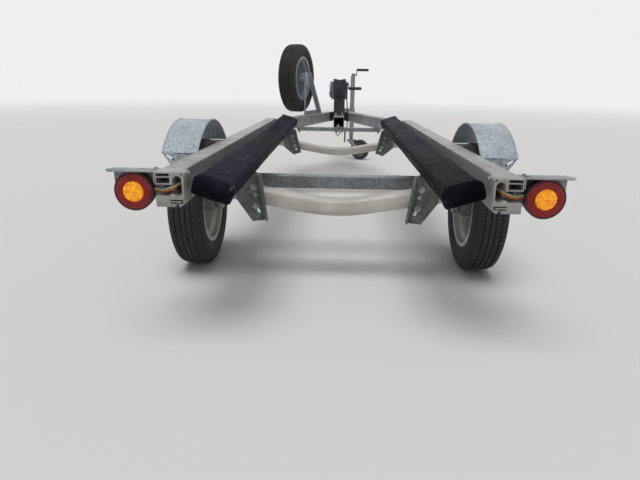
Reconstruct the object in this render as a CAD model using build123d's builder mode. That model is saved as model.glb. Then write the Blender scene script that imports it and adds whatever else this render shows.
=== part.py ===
from build123d import *
import os
from math import atan, cos, degrees, pi, radians, sin, sqrt, tan

# Boat trailer, in millimetres.
# X points to the right seen from behind, Y points forward to the coupling, Z points up.
# The origin is on the ground under the middle of the trailer.

# Whole trailer
TRAILER_LENGTH = 4560.0  # rear ends of the rails to the nose of the coupling
REAR_Y = -TRAILER_LENGTH / 2
FIT = 0.3  # gap left where curved or painted pieces seat on each other

# Road wheels, size 145/80 R13
TRACK = 1250.0  # between the middles of the two tyres
AXLE_AHEAD = 770.0  # wheel centres ahead of the rail ends
TYRE_DIAMETER = 562.0
TYRE_WIDTH = 145.0
TREAD_WIDTH = 112.0
TYRE_WALL = 9.0
BEAD_DIAMETER = 330.0
RIM_WIDTH = 121.0
RIM_FLANGE_HEIGHT = 17.0
RIM_WELL_DEPTH = 17.0
RIM_SHEET = 3.5
DISC_OFFSET = 30.0  # mounting face outboard of the wheel's middle
HUB_BORE = 58.0
BOLT_CIRCLE = 98.0
BOLT_HOLES = 4
BOLT_HOLE_DIAMETER = 13.0
VENT_CIRCLE = 218.0
VENT_HOLES = 8
VENT_HOLE_DIAMETER = 24.0
RIM_DISH = 24.0  # depth from the mounting face to the crest of the disc
WHEEL_Z = TYRE_DIAMETER / 2

# Side rails, an aluminium extrusion with a port, an outer channel and a slot below
RAIL_TOP = 546.0
RAIL_HEIGHT = 105.0
RAIL_WIDTH = 72.0
RAIL_INNER_X = 469.0
RAIL_CORNER = 5.0
RAIL_WALL = 4.0
RAIL_BEND_AHEAD = 2400.0  # where the side rail meets the drawbar arm
PORT_WIDTH = 28.0
PORT_HEIGHT = 70.0
PORT_RADIUS = 12.0
PORT_Z = 498.0
CHANNEL_DEPTH = 32.0
CHANNEL_SHELF = 3.0
CHANNEL_SHELF_DEPTH = 22.0
SLOT_MOUTH = 12.0
SLOT_WIDTH = 40.0
SLOT_HEIGHT = 8.0

# Castings on the rear ends of the rails, their covers missing
CASTING_LENGTH = 75.0
CASTING_STEP = 14.0  # how far it stands inward of the rail
CASTING_CORNER = 12.0
END_PORT_INSET = 20.0  # middle of the port from the casting's inner side
END_PORT_DROP = 41.5  # middle of the port below the rail's top
END_PORT_HEIGHT = 61.0
END_WALL = 3.0
END_WEB = 8.0  # between the port and the chambers outboard of it
END_RIB_DROP = 13.0
END_SHELF_DROP = 34.0
END_FLOOR_DROP = 72.0
END_FLOOR = 11.0
END_NOTCH_DROP = 52.0  # middle of the web's notch for the wires, below the rail's top
END_NOTCH_HEIGHT = 28.0
END_SLOT_WIDTH = 39.0
END_SLOT_HEIGHT = 12.0
END_TONGUE = 34.0
SCREW_BOSS = 14.0
SCREW_BOSS_INSET = 5.0
SCREW_BOSS_LENGTH = 45.0
SCREW_HOLE = 6.0

# Drawbar and its arms
ARM_HEIGHT = 89.0
ARM_END_X = 95.0  # middle of the arm at its front end
ARM_BEHIND_NOSE = 790.0
ARM_FRONT_AHEAD = TRAILER_LENGTH - ARM_BEHIND_NOSE
ARM_WALL = 4.0
DRAWBAR_WIDTH = 90.0
DRAWBAR_HEIGHT = 90.0
DRAWBAR_WALL = 5.0
DRAWBAR_REAR_AHEAD = 2900.0
COUPLING_LENGTH = 140.0  # ahead of the drawbar
DRAWBAR_FRONT_AHEAD = TRAILER_LENGTH - COUPLING_LENGTH
GUSSET_THICKNESS = 8.0
GUSSET_LEG = 110.0
TIE_WIDTH = 44.0
TIE_HEIGHT = 31.0
TIE_LENGTH = 712.0
TIE_AHEAD = 2930.0

# Arched crossmembers
ARCH_DEPTH = 110.0
ARCH_BEND_HALF = 130.0  # half width of the rounded middle
ARCH_SLOPE = 9.8  # degrees
ARCH_WALL = 4.0
ARCH_END_X = 505.0
ARCH_FOOT_WIDTH = 60.0
REAR_ARCH_AHEAD = 580.0
REAR_ARCH_TOP = 329.0
REAR_ARCH_HEIGHT = 56.0
FRONT_ARCH_AHEAD = 2300.0
FRONT_ARCH_TOP = 337.0
FRONT_ARCH_HEIGHT = 46.0
# Columns: name, distance ahead, top of the middle, height of the section
CROSSMEMBERS = (
    ("rear", REAR_ARCH_AHEAD, REAR_ARCH_TOP, REAR_ARCH_HEIGHT),
    ("front", FRONT_ARCH_AHEAD, FRONT_ARCH_TOP, FRONT_ARCH_HEIGHT),
)

# Axle
AXLE_TUBE = 60.0
AXLE_TUBE_AHEAD = 910.0
AXLE_TUBE_Z = 356.0
AXLE_TUBE_WALL = 4.0
AXLE_TUBE_HALF = 515.0
SWING_ARM_THICKNESS = 25.0
SWING_ARM_GAP = 3.0
SWING_BOSS_RADIUS = 36.0  # round the axle tube's end
SWING_SPIGOT_RADIUS = 28.0
STUB_BOSS_RADIUS = 30.0
STUB_DIAMETER = 34.0
HUB_DIAMETER = 84.0
HUB_FLANGE = 128.0
MOUNT_PLATE = 8.0
MOUNT_LENGTH = 170.0

# Mudguards
GUARD_INNER_X = 549.0
GUARD_WIDTH = 146.0
GUARD_RADIUS = 362.0
GUARD_SHEET = 2.5
GUARD_HALF_ANGLE = 46.0
GUARD_BEAD = 9.0
STAY_INSET = 3.0  # from the guard's end to the stay
STAY_DROP = 41.0
STAY_THICKNESS = 4.0
STAY_EDGE = 3.0  # short of the guard's outer edge
STAY_REACH = GUARD_INNER_X + GUARD_WIDTH - STAY_EDGE
STAY_TAPER = 26.0
STAY_SLOT_LENGTH = 36.0
STAY_SLOT_WIDTH = 9.0
STAY_SLOT_ANGLE = 34.0
STAY_SLOT_IN = 29.0  # middle of the slot from the stay's outer corner
STAY_SLOT_DOWN = 16.0
STAY_FLANGE = 64.0

# Bunks
BUNK_WIDTH = 138.0
BUNK_THICKNESS = 64.0
BUNK_LENGTH = 2410.0
BUNK_TILT = 17.5  # degrees, inner edge lower
BUNK_TOP_X = 366.0
BUNK_TOP_Z = 520.0
BUNK_RISE = 40.0  # over its length
BUNK_CORNER = 16.0
BUNK_REAR_AHEAD = 5.0
BRACKET_SHEET = 5.0
BRACKET_FLANGE = 34.0
BRACKET_TOP_INNER_X = 313.0
BRACKET_TOP_OUTER_X = 430.0
BRACKET_SLOT_LENGTH = 40.0
BRACKET_SLOT_WIDTH = 12.0
BRACKET_SLOT_ANGLE = 67.0
BRACKET_HOLE = 12.0
# Corners of the bracket plates and places of their holes, as X and Z; the front ones are shorter
REAR_BRACKET = {
    "foot_inner": (286.0, 252.0),
    "foot_outer": (352.0, 244.0),
    "elbow": (417.0, 337.0),
    "slot": (329.0, 298.0),
    "holes": ((345.0, 392.0), (337.0, 358.0)),
}
FRONT_BRACKET = {
    "foot_inner": (275.0, 308.0),
    "foot_outer": (331.0, 290.0),
    "elbow": (400.0, 345.0),
    "slot": (316.0, 344.0),
    "holes": ((340.0, 426.0), (332.0, 392.0)),
}

# Lamps
LAMP_DIAMETER = 122.0
LAMP_X = 622.0
LAMP_Z = 479.0
LAMP_AHEAD = 34.0  # rear of the lens
LAMP_DEPTH = 40.0
LAMP_LENS_DIAMETER = 112.0
LAMP_AMBER_DIAMETER = 64.0
LAMP_PLATE_REACH = 710.0
LAMP_PLATE_SHEET = 3.0
LAMP_PLATE_HEIGHT = 98.0
LAMP_SHELF_AHEAD = 18.0
LAMP_SHELF_DEPTH = 66.0
LAMP_SHELF_DROP = 2.0
LAMP_TAB_LENGTH = 70.0
LAMP_TAB_FOLD = 34.0

# Winch post, winch and bow stop
POST_WIDTH = 96.0
POST_DEPTH = 70.0
POST_AHEAD = 3150.0  # rear face
POST_TOP = 826.0
POST_SHEET = 5.0
POST_FOOT = 35.0
BOW_STOP_WIDTH = 107.0
BOW_STOP_HEIGHT = 148.0
BOW_STOP_TOP = 841.0
BOW_STOP_DEPTH = 62.0
BOW_GROOVE_DEPTH = 34.0
BOW_TOP_DIP = 10.0
BOW_STOP_TAPER = 16.0
RUNNING = 0.05  # radial clearance of a shaft that turns
WINCH_WIDTH = 146.0
WINCH_SHEET = 4.0
WINCH_TOP = 818.0
WINCH_BOTTOM = 664.0
WINCH_REACH = 152.0
WINCH_FOOT = 90.0  # length of the side plates' lower edge
WINCH_RAKE = 50.0  # rise of their slanting front edge
GEAR_CASE = 15.0
GEAR_CASE_RADIUS = 56.0
GEAR_CASE_SMALL = 24.0
WINCH_AXIS_AHEAD = 3300.0
WINCH_AXIS_Z = 735.0
DRUM_DIAMETER = 46.0
DRUM_FLANGE = 112.0
DRUM_AXLE = 20.0
STRAP_COIL_DIAMETER = 88.0
STRAP_WIDTH = 50.0
CRANK_AXIS_AHEAD = 3346.0
CRANK_AXIS_Z = 795.0
CRANK_SHAFT = 16.0
CRANK_DROP = 39.0
CRANK_CLEARANCE = 7.0
CRANK_LENGTH = 190.0
CRANK_THICKNESS = 6.0
GRIP_DIAMETER = 28.0
GRIP_LENGTH = 122.0
GRIP_CORNER = 3.0
GRIP_PIN = 10.0

# Lead to the towing car, its plug parked on the right side of the winch post
LEAD_DIAMETER = 9.0
PLUG_DIAMETER = 24.0
PLUG_BOTTOM = 746.0
PLUG_LENGTH = 58.0
PLUG_GLAND = 15.0
PLUG_GLAND_LENGTH = 14.0
PLUG_AHEAD = 3200.0

# Wires of the rear lamps
WIRE_DIAMETER = 2.6
WIRE_SPACING = 5.0

# Spare wheel, carried beside the left arm
SPARE_BACK = 682.0  # along the arm from its front end
SPARE_OUTBOARD = 88.0  # middle of the wheel outboard of the arm's middle
SPARE_Z = 837.0
CARRIER_SHEET = 5.0
CARRIER_CLEARANCE = 12.0  # from the tyre's side to the carrier plate
CARRIER_FRONT = 350.0
CARRIER_APEX = 42.0
CARRIER_HEAD = 52.0
CARRIER_FLANGE = 32.0
CARRIER_BAR = 34.0  # width of the slanting bar and of the base
CARRIER_STRUT = 28.0
CARRIER_BOSS = 90.0

# Jockey wheel
JOCKEY_X = 140.0
JOCKEY_BEHIND_NOSE = 370.0
JOCKEY_AHEAD = TRAILER_LENGTH - JOCKEY_BEHIND_NOSE
JOCKEY_TUBE = 48.0
JOCKEY_TUBE_WALL = 3.0
JOCKEY_TUBE_BOTTOM = 269.0
JOCKEY_TUBE_TOP = 880.0
JOCKEY_LEG = 41.0
JOCKEY_WHEEL_DIAMETER = 216.0
JOCKEY_WHEEL_WIDTH = 60.0
JOCKEY_TRAIL = 115.0
JOCKEY_TURN = 58.0  # degrees of the trail from straight back, towards the right
FORK_PLATE = 5.0
FORK_GAP = 7.0
FORK_CROWN_Z = 203.0
FORK_CROWN = 8.0
JOCKEY_CLAMP_Z = 472.0
JOCKEY_CLAMP_HEIGHT = 70.0
JOCKEY_CLAMP_WIDTH = 44.0
JOCKEY_CLAMP_WALL = 8.0
JOCKEY_LEG_TOP = 740.0
JOCKEY_GRIP_Z = 940.0
KING_PIN = 12.0
KING_PIN_REACH = 10.0  # below the fork's crown
KING_NUT = 22.0
KING_NUT_HEIGHT = 6.0
ROLLER_PIN = 16.0

# Coupling
BALL_DIAMETER = 50.0
BALL_Z = 470.0
BALL_BACK = 40.0  # ball centre behind the nose, and the radius of the head
COUPLING_SHEET = 5.0
COUPLING_SLEEVE = 90.0
COUPLING_SKIRT = 18.0
COUPLING_HEIGHT = 74.0
SLEEVE_CORNER = 9.0  # inside, tighter than the drawbar's
HANDLE_WIDTH = 24.0
HANDLE_LENGTH = 120.0
HANDLE_RISE = 52.0
HANDLE_BAR = 8.0


def ahead(distance):
    """Y of a point that lies this far ahead of the rail ends."""
    return REAR_Y + distance


def cross_plane(y):
    """Upright plane across the trailer at y, seen from behind; a negative extrude goes forward."""
    return Plane(origin=(0, y, 0), x_dir=(1, 0, 0), z_dir=(0, -1, 0))


def write(piece, name):
    """Label a finished piece and write its STEP file."""
    piece.part.label = name
    export_step(piece.part, f"parts/{name}.step")


def write_both(piece, name):
    """Write a right-hand piece and its mirror image as one file of solids that don't touch."""
    with BuildPart() as both:
        add(piece.part)
        mirror(piece.part, about=Plane.YZ)
    write(both, name)


def write_pair(piece, name):
    """Write a right-hand piece, and its mirror image as the left-hand one."""
    write(piece, f"{name}_right")
    with BuildPart() as left:
        mirror(piece.part, about=Plane.YZ)
    write(left, f"{name}_left")


os.makedirs("parts", exist_ok=True)

# Places worked out from the sizes above
RAIL_BOTTOM = RAIL_TOP - RAIL_HEIGHT
RAIL_OUTER_X = RAIL_INNER_X + RAIL_WIDTH
RAIL_MIDDLE_X = RAIL_INNER_X + RAIL_WIDTH / 2
RAIL_MIDDLE_Z = RAIL_TOP - RAIL_HEIGHT / 2
PORT_X = RAIL_INNER_X + RAIL_WALL + PORT_WIDTH / 2
BEND_Y = ahead(RAIL_BEND_AHEAD)
ARM_FRONT_Y = ahead(ARM_FRONT_AHEAD)
ARM_ANGLE = atan((RAIL_MIDDLE_X - ARM_END_X) / (ARM_FRONT_Y - BEND_Y))
ARM_DIRECTION = Vector(-sin(ARM_ANGLE), cos(ARM_ANGLE), 0)
ARM_ACROSS = Vector(cos(ARM_ANGLE), sin(ARM_ANGLE), 0)
ARM_LENGTH = (ARM_FRONT_Y - BEND_Y) / cos(ARM_ANGLE)
ARM_TOP = RAIL_BOTTOM + ARM_HEIGHT
MITRE_PLANE = Plane(
    origin=(RAIL_MIDDLE_X, BEND_Y, 0), z_dir=(-sin(ARM_ANGLE / 2), cos(ARM_ANGLE / 2), 0)
)
DRAWBAR_TOP = RAIL_BOTTOM + DRAWBAR_HEIGHT
WHEEL_X = TRACK / 2
WHEEL_Y = ahead(AXLE_AHEAD)
AXLE_TUBE_Y = ahead(AXLE_TUBE_AHEAD)

# Side rails
with BuildPart() as side_rail:
    with BuildSketch(cross_plane(REAR_Y)) as rail_section:
        with Locations((RAIL_MIDDLE_X, RAIL_MIDDLE_Z)):
            Rectangle(RAIL_WIDTH, RAIL_HEIGHT)
        fillet(rail_section.vertices(), RAIL_CORNER)
        with Locations((PORT_X, PORT_Z)):
            RectangleRounded(PORT_WIDTH, PORT_HEIGHT, PORT_RADIUS, mode=Mode.SUBTRACT)
        with Locations((RAIL_OUTER_X - CHANNEL_DEPTH / 2, PORT_Z)):
            Rectangle(CHANNEL_DEPTH, PORT_HEIGHT + 2 * RAIL_WALL, mode=Mode.SUBTRACT)
        with Locations((RAIL_OUTER_X - CHANNEL_DEPTH, PORT_Z)):
            with GridLocations(0, PORT_HEIGHT / 3, 1, 2):
                Rectangle(CHANNEL_SHELF_DEPTH * 2, CHANNEL_SHELF)
        with Locations((PORT_X, PORT_Z)):
            RectangleRounded(PORT_WIDTH, PORT_HEIGHT, PORT_RADIUS, mode=Mode.SUBTRACT)
        with Locations((RAIL_MIDDLE_X, RAIL_BOTTOM + RAIL_WALL + SLOT_HEIGHT / 2)):
            Rectangle(SLOT_WIDTH, SLOT_HEIGHT, mode=Mode.SUBTRACT)
        with Locations((RAIL_MIDDLE_X, RAIL_BOTTOM + RAIL_WALL / 2)):
            Rectangle(SLOT_MOUTH, RAIL_WALL, mode=Mode.SUBTRACT)
    extrude(amount=-(RAIL_BEND_AHEAD + RAIL_WIDTH))
    with BuildSketch(cross_plane(REAR_Y)):
        with Locations((RAIL_MIDDLE_X, RAIL_MIDDLE_Z)):
            Rectangle(RAIL_WIDTH * 2, RAIL_HEIGHT * 2)
    extrude(amount=-CASTING_LENGTH, mode=Mode.SUBTRACT)
    split(bisect_by=MITRE_PLANE, keep=Keep.BOTTOM)
write_pair(side_rail, "side_rail")

# Rail end castings
casting_inner_x = RAIL_INNER_X - CASTING_STEP
end_port_x = casting_inner_x + END_PORT_INSET
end_port_z = RAIL_TOP - END_PORT_DROP
web_outer_x = end_port_x + PORT_WIDTH / 2 + END_WEB
chamber_outer_x = RAIL_OUTER_X - END_WALL
rib_z = RAIL_TOP - END_RIB_DROP
shelf_z = RAIL_TOP - END_SHELF_DROP
floor_z = RAIL_TOP - END_FLOOR_DROP
notch_z = RAIL_TOP - END_NOTCH_DROP
slot_x = end_port_x + RAIL_WALL
slot_top = floor_z - END_FLOOR
slot_bottom = slot_top - END_SLOT_HEIGHT
# Columns: inner side, outer side, bottom, top
end_openings = (
    (web_outer_x, chamber_outer_x, rib_z, RAIL_TOP - RAIL_WALL),
    (web_outer_x, chamber_outer_x, shelf_z, rib_z - END_WALL),
    (web_outer_x, RAIL_OUTER_X, floor_z, shelf_z - END_WALL),
    (end_port_x, web_outer_x, notch_z - END_NOTCH_HEIGHT / 2, notch_z + END_NOTCH_HEIGHT / 2),
    (slot_x - END_SLOT_WIDTH / 2, slot_x + END_SLOT_WIDTH / 2, slot_bottom, slot_top),
    (slot_x - SLOT_MOUTH / 2, slot_x + SLOT_MOUTH / 2, RAIL_BOTTOM, slot_bottom),
)
with BuildPart() as rail_end:
    with BuildSketch(cross_plane(REAR_Y)) as casting_section:
        with Locations((casting_inner_x, RAIL_MIDDLE_Z)):
            Rectangle(RAIL_WIDTH + CASTING_STEP, RAIL_HEIGHT, align=(Align.MIN, Align.CENTER))
        chamfer(casting_section.vertices().sort_by(Axis.X)[:2], CASTING_CORNER)
        with Locations((end_port_x, end_port_z)):
            SlotOverall(END_PORT_HEIGHT, PORT_WIDTH, rotation=90, mode=Mode.SUBTRACT)
        for opening_inner, opening_outer, opening_low, opening_high in end_openings:
            with Locations((opening_inner, opening_low)):
                Rectangle(
                    opening_outer - opening_inner,
                    opening_high - opening_low,
                    align=(Align.MIN, Align.MIN),
                    mode=Mode.SUBTRACT,
                )
        with Locations((slot_x + END_SLOT_WIDTH / 2, slot_top - END_SLOT_HEIGHT / 2)):
            Rectangle(END_TONGUE, END_WALL, align=(Align.MAX, Align.CENTER))
    extrude(amount=-CASTING_LENGTH)
    with BuildSketch(cross_plane(REAR_Y)):
        with Locations((casting_inner_x + SCREW_BOSS_INSET, RAIL_TOP - SCREW_BOSS / 2)):
            Circle(SCREW_BOSS / 2)
    extrude(amount=-SCREW_BOSS_LENGTH)
    with BuildSketch(cross_plane(REAR_Y)):
        with Locations((casting_inner_x + SCREW_BOSS_INSET, RAIL_TOP - SCREW_BOSS / 2)):
            Circle(SCREW_HOLE / 2)
    extrude(amount=-SCREW_BOSS_LENGTH / 2, mode=Mode.SUBTRACT)
write_both(rail_end, "rail_ends")

# Drawbar arms
with BuildPart() as drawbar_arm:
    arm_plane = Plane(
        origin=Vector(RAIL_MIDDLE_X, BEND_Y, 0) - ARM_DIRECTION * RAIL_WIDTH,
        x_dir=ARM_ACROSS,
        z_dir=-ARM_DIRECTION,
    )
    with BuildSketch(arm_plane):
        with Locations((0, RAIL_BOTTOM + ARM_HEIGHT / 2)):
            RectangleRounded(RAIL_WIDTH, ARM_HEIGHT, RAIL_CORNER)
            Rectangle(RAIL_WIDTH - 2 * ARM_WALL, ARM_HEIGHT - 2 * ARM_WALL, mode=Mode.SUBTRACT)
    extrude(amount=-(ARM_LENGTH + RAIL_WIDTH))
    split(bisect_by=MITRE_PLANE, keep=Keep.TOP)
write_pair(drawbar_arm, "drawbar_arm")

# Drawbar tube
with BuildPart() as drawbar:
    with BuildSketch(cross_plane(ahead(DRAWBAR_REAR_AHEAD))):
        with Locations((0, RAIL_BOTTOM + DRAWBAR_HEIGHT / 2)):
            RectangleRounded(DRAWBAR_WIDTH, DRAWBAR_HEIGHT, RAIL_CORNER * 2)
            RectangleRounded(
                DRAWBAR_WIDTH - 2 * DRAWBAR_WALL,
                DRAWBAR_HEIGHT - 2 * DRAWBAR_WALL,
                RAIL_CORNER,
                mode=Mode.SUBTRACT,
            )
    extrude(amount=-(DRAWBAR_FRONT_AHEAD - DRAWBAR_REAR_AHEAD))
write(drawbar, "drawbar")

# Gussets between the arms and the drawbar
arm_inner_end = Vector(ARM_END_X, ARM_FRONT_Y, 0) - ARM_ACROSS * (RAIL_WIDTH / 2)
gusset_turn = arm_inner_end - ARM_ACROSS * GUSSET_THICKNESS
gusset_start = gusset_turn - ARM_DIRECTION * GUSSET_LEG
gusset_land = Vector(DRAWBAR_WIDTH / 2, ARM_FRONT_Y + GUSSET_LEG, 0)
gusset_end = gusset_land + Vector(0, GUSSET_LEG, 0)
with BuildPart() as gusset:
    with BuildSketch(Plane.XY.offset(RAIL_BOTTOM)):
        with BuildLine():
            Polyline(
                (gusset_start.X, gusset_start.Y),
                (gusset_turn.X, gusset_turn.Y),
                (gusset_land.X, gusset_land.Y),
                (gusset_end.X, gusset_end.Y),
            )
            offset(amount=GUSSET_THICKNESS, side=Side.RIGHT)
        make_face()
    extrude(amount=ARM_HEIGHT)
write_both(gusset, "drawbar_gussets")

# Thin tie under the arms and the rear end of the drawbar
with BuildPart() as tie:
    with BuildSketch(Plane.YZ.offset(-TIE_LENGTH / 2)):
        with Locations((ahead(TIE_AHEAD), RAIL_BOTTOM - TIE_HEIGHT / 2)):
            RectangleRounded(TIE_WIDTH, TIE_HEIGHT, 3)
            Rectangle(TIE_WIDTH - 8, TIE_HEIGHT - 8, mode=Mode.SUBTRACT)
    extrude(amount=TIE_LENGTH)
write(tie, "drawbar_tie")

# Arched crossmembers
ARCH_RADIUS = ARCH_BEND_HALF / sin(radians(ARCH_SLOPE))
ARCH_LEG_RISE = (ARCH_END_X - ARCH_BEND_HALF) * tan(radians(ARCH_SLOPE))
ARCH_BEND_RISE = ARCH_RADIUS * (1 - cos(radians(ARCH_SLOPE)))


def arch_line(middle_z):
    """Line along the arch from end to end, at this height in the middle."""
    bend_z = middle_z + ARCH_BEND_RISE
    end_z = bend_z + ARCH_LEG_RISE
    Line((-ARCH_END_X, end_z), (-ARCH_BEND_HALF, bend_z))
    ThreePointArc((-ARCH_BEND_HALF, bend_z), (0, middle_z), (ARCH_BEND_HALF, bend_z))
    Line((ARCH_BEND_HALF, bend_z), (ARCH_END_X, end_z))
    return end_z


for arch_name, arch_ahead, arch_top, arch_height in CROSSMEMBERS:
    with BuildPart() as arch:
        with BuildSketch(cross_plane(ahead(arch_ahead))) as arch_face:
            with BuildLine():
                top_end = arch_line(arch_top)
                bottom_end = arch_line(arch_top - arch_height)
                Line((-ARCH_END_X, top_end), (-ARCH_END_X, bottom_end))
                Line((ARCH_END_X, top_end), (ARCH_END_X, bottom_end))
            make_face()
        extrude(amount=-ARCH_DEPTH)
        with BuildSketch(cross_plane(ahead(arch_ahead + ARCH_WALL))):
            with BuildLine():
                hollow_top = arch_line(arch_top - ARCH_WALL)
                hollow_bottom = arch_line(arch_top - arch_height + ARCH_WALL)
                Line((-ARCH_END_X, hollow_top), (-ARCH_END_X, hollow_bottom))
                Line((ARCH_END_X, hollow_top), (ARCH_END_X, hollow_bottom))
            make_face()
        extrude(amount=-(ARCH_DEPTH - 2 * ARCH_WALL), mode=Mode.SUBTRACT)
        with BuildSketch(cross_plane(ahead(arch_ahead))):
            with Locations((-ARCH_END_X, RAIL_BOTTOM), (ARCH_END_X, RAIL_BOTTOM)):
                Rectangle(ARCH_FOOT_WIDTH, RAIL_BOTTOM - bottom_end, align=(Align.CENTER, Align.MAX))
        extrude(amount=-ARCH_DEPTH)
    write(arch, f"{arch_name}_crossmember")

# Axle tube
with BuildPart() as axle_tube:
    with BuildSketch(Plane.YZ.offset(-AXLE_TUBE_HALF)):
        with Locations((AXLE_TUBE_Y, AXLE_TUBE_Z)):
            RectangleRounded(AXLE_TUBE, AXLE_TUBE, 6)
            Rectangle(AXLE_TUBE - 2 * AXLE_TUBE_WALL, AXLE_TUBE - 2 * AXLE_TUBE_WALL, mode=Mode.SUBTRACT)
    extrude(amount=2 * AXLE_TUBE_HALF)
write(axle_tube, "axle_tube")

# Brackets that hang the axle under the rails
with BuildPart() as axle_mount:
    mount_top = RAIL_BOTTOM
    mount_bottom = AXLE_TUBE_Z + AXLE_TUBE / 2
    with BuildSketch(Plane.YZ.offset(RAIL_INNER_X + 6)):
        with BuildLine():
            Polyline(
                (AXLE_TUBE_Y - MOUNT_LENGTH / 2, mount_top),
                (AXLE_TUBE_Y + MOUNT_LENGTH / 2, mount_top),
                (AXLE_TUBE_Y + MOUNT_LENGTH / 2, mount_top - MOUNT_PLATE),
                (AXLE_TUBE_Y + AXLE_TUBE / 2, mount_bottom),
                (AXLE_TUBE_Y - AXLE_TUBE / 2, mount_bottom),
                (AXLE_TUBE_Y - MOUNT_LENGTH / 2, mount_top - MOUNT_PLATE),
                close=True,
            )
        make_face()
    extrude(amount=AXLE_TUBE_HALF - RAIL_INNER_X - 6)
write_both(axle_mount, "axle_mounts")

# Swing arms with the stub axles
SWING_ARM_X = AXLE_TUBE_HALF + SWING_ARM_GAP
with BuildPart() as swing_arm:
    with BuildSketch(Plane.YZ.offset(SWING_ARM_X)):
        with BuildSketch(mode=Mode.PRIVATE) as boss_ends:
            with Locations((AXLE_TUBE_Y, AXLE_TUBE_Z)):
                Circle(SWING_BOSS_RADIUS)
            with Locations((WHEEL_Y, WHEEL_Z)):
                Circle(STUB_BOSS_RADIUS)
        add(make_hull(boss_ends.sketch.edges(), mode=Mode.PRIVATE))
    extrude(amount=SWING_ARM_THICKNESS)
    with BuildSketch(Plane.YZ.offset(SWING_ARM_X - SWING_ARM_GAP)):
        with Locations((AXLE_TUBE_Y, AXLE_TUBE_Z)):
            Circle(SWING_SPIGOT_RADIUS)
    extrude(amount=SWING_ARM_GAP)
    with BuildSketch(Plane.YZ.offset(SWING_ARM_X)):
        with Locations((WHEEL_Y, WHEEL_Z)):
            Circle(STUB_DIAMETER / 2)
    extrude(amount=WHEEL_X + DISC_OFFSET - SWING_ARM_X)
write_both(swing_arm, "swing_arms")

# Hubs, one turned piece each with a grease cap
HUB_FACE_X = WHEEL_X + DISC_OFFSET
hub_inner_x = SWING_ARM_X + SWING_ARM_THICKNESS + 6
hub_axis = Axis((0, WHEEL_Y, WHEEL_Z), (1, 0, 0))
wheel_plane = Plane(origin=(0, WHEEL_Y, WHEEL_Z), x_dir=(1, 0, 0), z_dir=(0, -1, 0))
with BuildPart() as hub:
    with BuildSketch(wheel_plane):
        with BuildLine():
            Polyline(
                (hub_inner_x, STUB_DIAMETER / 2 + 1),
                (hub_inner_x, HUB_DIAMETER / 2 - 8),
                (hub_inner_x + 14, HUB_DIAMETER / 2),
                (HUB_FACE_X - 12, HUB_DIAMETER / 2),
                (HUB_FACE_X - 12, HUB_FLANGE / 2),
                (HUB_FACE_X - FIT, HUB_FLANGE / 2),
                (HUB_FACE_X - FIT, HUB_BORE / 2 - 0.5),
                (HUB_FACE_X + 20, HUB_BORE / 2 - 3),
                (HUB_FACE_X + 26, HUB_BORE / 2 - 9),
                (HUB_FACE_X + 26, 0),
                (HUB_FACE_X + 4, 0),
                (HUB_FACE_X + 4, STUB_DIAMETER / 2 + 1),
                close=True,
            )
        make_face()
    revolve(axis=hub_axis)
write_pair(hub, "hub")

# Wheel rims and tyres, drawn about their own middle plane with the outboard side at +X
rim_seat = BEAD_DIAMETER / 2
rim_half = RIM_WIDTH / 2
rim_lip = rim_seat + RIM_FLANGE_HEIGHT
rim_well = rim_seat - RIM_WELL_DEPTH
tyre_half = TYRE_WIDTH / 2
tread_half = TREAD_WIDTH / 2


def rim_outline(side_out):
    """Half section of the rim and its disc in the plane of the wheel's axle."""
    sheet = RIM_SHEET
    Polyline(
        (-rim_half, rim_lip),
        (-rim_half + sheet, rim_lip),
        (-rim_half + sheet, rim_seat + sheet),
        (-rim_half + 22, rim_seat + sheet - 1),
        (-rim_half + 34, rim_well + sheet),
        (rim_half - 44, rim_well + sheet),
        (rim_half - 24, rim_seat + sheet - 1),
        (rim_half - sheet, rim_seat + sheet),
        (rim_half - sheet, rim_lip),
        (rim_half, rim_lip),
        (rim_half, rim_seat),
        (rim_half - 24, rim_seat - 1),
        (rim_half - 42, rim_well),
        (side_out + 14, rim_well),
        (side_out + 20, rim_well - 16),
        (side_out + 16, HUB_FLANGE / 2 + 22),
        (side_out + sheet, HUB_FLANGE / 2 + 6),
        (side_out + sheet, HUB_BORE / 2),
        (side_out, HUB_BORE / 2),
        (side_out, HUB_FLANGE / 2 + 6),
        (side_out + 12, HUB_FLANGE / 2 + 22),
        (side_out + 16, rim_well - 17),
        (side_out + 9, rim_well - sheet),
        (-rim_half + 36, rim_well),
        (-rim_half + 22, rim_seat - 1),
        (-rim_half, rim_seat),
        close=True,
    )


def tyre_outline():
    """Half section of the tyre from bead to bead, inside and out."""
    crown = TYRE_DIAMETER / 2
    shoulder = crown - 9
    bulge = (crown + rim_lip) / 2 - 6
    bead_x = rim_half - RIM_SHEET - FIT
    bead_r = rim_seat + RIM_SHEET + FIT
    # Columns: distance from the wheel's middle, radius
    half = (
        (tread_half - 14, crown),
        (tread_half, shoulder),
        (tyre_half, bulge + 12),
        (tyre_half, bulge - 12),
        (bead_x, rim_lip + 1),
        (bead_x, bead_r),
        (bead_x - 13, bead_r),
        (tyre_half - TYRE_WALL, bulge),
        (tread_half - 8, shoulder - 9),
    )
    Polyline(*half, *[(-x, radius) for x, radius in reversed(half)], close=True)


def build_rim():
    """Rim about the X axis at the origin, outboard side at +X."""
    with BuildPart() as rim:
        with BuildSketch(Plane.XY):
            with BuildLine():
                rim_outline(DISC_OFFSET)
            make_face()
        revolve(axis=Axis.X)
        with BuildSketch(Plane.YZ.offset(DISC_OFFSET)):
            with PolarLocations(BOLT_CIRCLE / 2, BOLT_HOLES):
                Circle(BOLT_HOLE_DIAMETER / 2)
            with PolarLocations(VENT_CIRCLE / 2, VENT_HOLES):
                Circle(VENT_HOLE_DIAMETER / 2)
        extrude(amount=RIM_DISH, mode=Mode.SUBTRACT)
    return rim.part


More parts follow.
